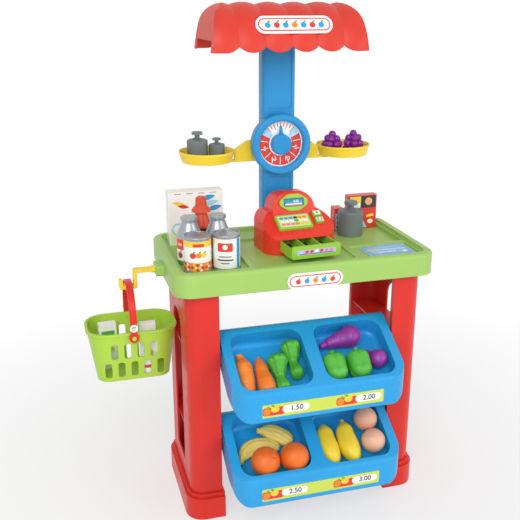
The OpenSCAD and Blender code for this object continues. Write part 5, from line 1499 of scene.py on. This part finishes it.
class STALL_OT_stage(bpy.types.Operator):
    """Pale floor, white surroundings, soft lamps and the camera"""

    bl_idname = "stall.stage"
    bl_label = "Stage"

    def execute(self, context):
        scene = context.scene
        stage = scene.stall_stage
        scene.view_settings.view_transform = "Standard"
        self.surroundings(scene, stage)
        self.floor(scene, stage)
        self.lamp(scene, "key_lamp", stage.key_place, stage.key_size, stage.key_power)
        self.lamp(scene, "fill_lamp", stage.fill_place, stage.fill_size, stage.fill_power)
        self.camera(scene, stage)
        return {"FINISHED"}

    def surroundings(self, scene, stage):
        """Even light, and plain white where the camera, gloss and glass look past the floor."""
        world = bpy.data.worlds.new("studio_white")
        scene.world = world
        world.use_nodes = True
        tree = world.node_tree
        light = tree.nodes["Background"]
        light.inputs["Color"].default_value = PURE_WHITE
        light.inputs["Strength"].default_value = stage.sky_level
        white = add_node(tree, "ShaderNodeBackground", Color=PURE_WHITE, Strength=1.0)
        mixed(tree, seen_rays(tree), light, white, "World Output")

    def floor(self, scene, stage):
        """Round floor that fades to white away from the stall."""
        mesh = bmesh.new()
        bmesh.ops.create_circle(mesh, cap_ends=True, segments=96, radius=stage.floor_radius)
        bmesh.ops.translate(mesh, verts=mesh.verts, vec=(0.0, 0.0, -stage.floor_gap))
        data = bpy.data.meshes.new("floor")
        mesh.to_mesh(data)
        mesh.free()
        floor = bpy.data.objects.new("floor", data)
        scene.collection.objects.link(floor)
        material = bpy.data.materials.new("floor_pale")
        material.use_nodes = True
        tree = material.node_tree
        matt = tree.nodes["Principled BSDF"]
        matt.inputs["Base Color"].default_value = (*stage.floor_grey, 1.0)
        matt.inputs["Roughness"].default_value = 0.9
        matt.inputs["Specular IOR Level"].default_value = 0.1
        white = add_node(tree, "ShaderNodeEmission", Color=PURE_WHITE, Strength=1.0)
        where = tree.nodes.new("ShaderNodeTexCoord")
        far = tree.nodes.new("ShaderNodeVectorMath")
        far.operation = "LENGTH"
        tree.links.new(where.outputs["Object"], far.inputs[0])
        fade = add_node(tree, "ShaderNodeMapRange", From_Min=stage.fade_start, From_Max=stage.fade_end,
                        To_Min=stage.fade_white, To_Max=1.0)
        tree.links.new(far.outputs["Value"], fade.inputs["Value"])
        both = tree.nodes.new("ShaderNodeMath")
        both.operation = "MULTIPLY"
        tree.links.new(fade.outputs["Result"], both.inputs[0])
        tree.links.new(seen_rays(tree), both.inputs[1])
        mixed(tree, both.outputs[0], matt, white, "Material Output")
        data.materials.append(material)

    def lamp(self, scene, name, place, size, power):
        """Large soft lamp that looks at the middle of the stall."""
        light = bpy.data.lights.new(name, "AREA")
        light.shape, light.size, light.energy = "DISK", size, power
        lamp = bpy.data.objects.new(name, light)
        lamp.location = place
        aim = Vector((0.0, 0.0, scene.stall_stage.lamp_aim)) - Vector(place)
        lamp.rotation_euler = aim.to_track_quat("-Z", "Y").to_euler()
        scene.collection.objects.link(lamp)

    def camera(self, scene, stage):
        """Camera at the photograph's angle."""
        data = bpy.data.cameras.new("camera")
        data.lens, data.sensor_width, data.clip_end = stage.lens, 36.0, 50.0
        camera = bpy.data.objects.new("camera", data)
        scene.collection.objects.link(camera)
        flat = math.cos(stage.elevation)
        back = Vector((math.sin(stage.azimuth) * flat, -math.cos(stage.azimuth) * flat,
                       math.sin(stage.elevation)))
        target = Vector((stage.target_across, 0.0, stage.target_height))
        camera.location = target + back * stage.distance
        camera.rotation_euler = back.to_track_quat("Z", "Y").to_euler()
        scene.camera = camera


OPERATORS = (STALL_OT_stage, STALL_OT_stand, STALL_OT_signs, STALL_OT_price_strips, STALL_OT_scale,
             STALL_OT_register, STALL_OT_basket, STALL_OT_tins, STALL_OT_cartons, STALL_OT_vegetables,
             STALL_OT_fruit)


class STALL_PT_panel(bpy.types.Panel):
    """Sidebar panel with the stall's steps and settings."""

    bl_label = "Toy market stall"
    bl_idname = "STALL_PT_panel"
    bl_space_type = "VIEW_3D"
    bl_region_type = "UI"
    bl_category = "Stall"

    def draw(self, context):
        for operator in OPERATORS:
            self.layout.operator(operator.bl_idname)
        for group in (context.scene.stall_paints, context.scene.stall_trim, context.scene.stall_stage):
            box = self.layout.box()
            for name in group.__annotations__:
                box.prop(group, name)


GROUPS = {"stall_paints": StallPaints, "stall_trim": StallTrim, "stall_stage": StallStage}


def register():
    for cls in (*GROUPS.values(), *OPERATORS, STALL_PT_panel):
        bpy.utils.register_class(cls)
    for name, group in GROUPS.items():
        setattr(bpy.types.Scene, name, PointerProperty(type=group))


def unregister():
    for name in GROUPS:
        delattr(bpy.types.Scene, name)
    for cls in (STALL_PT_panel, *reversed(OPERATORS), *reversed(tuple(GROUPS.values()))):
        bpy.utils.unregister_class(cls)


def main():
    register()
    for operator in OPERATORS:
        group, name = operator.bl_idname.split(".")
        getattr(getattr(bpy.ops, group), name)()


if __name__ == "__main__":
    main()
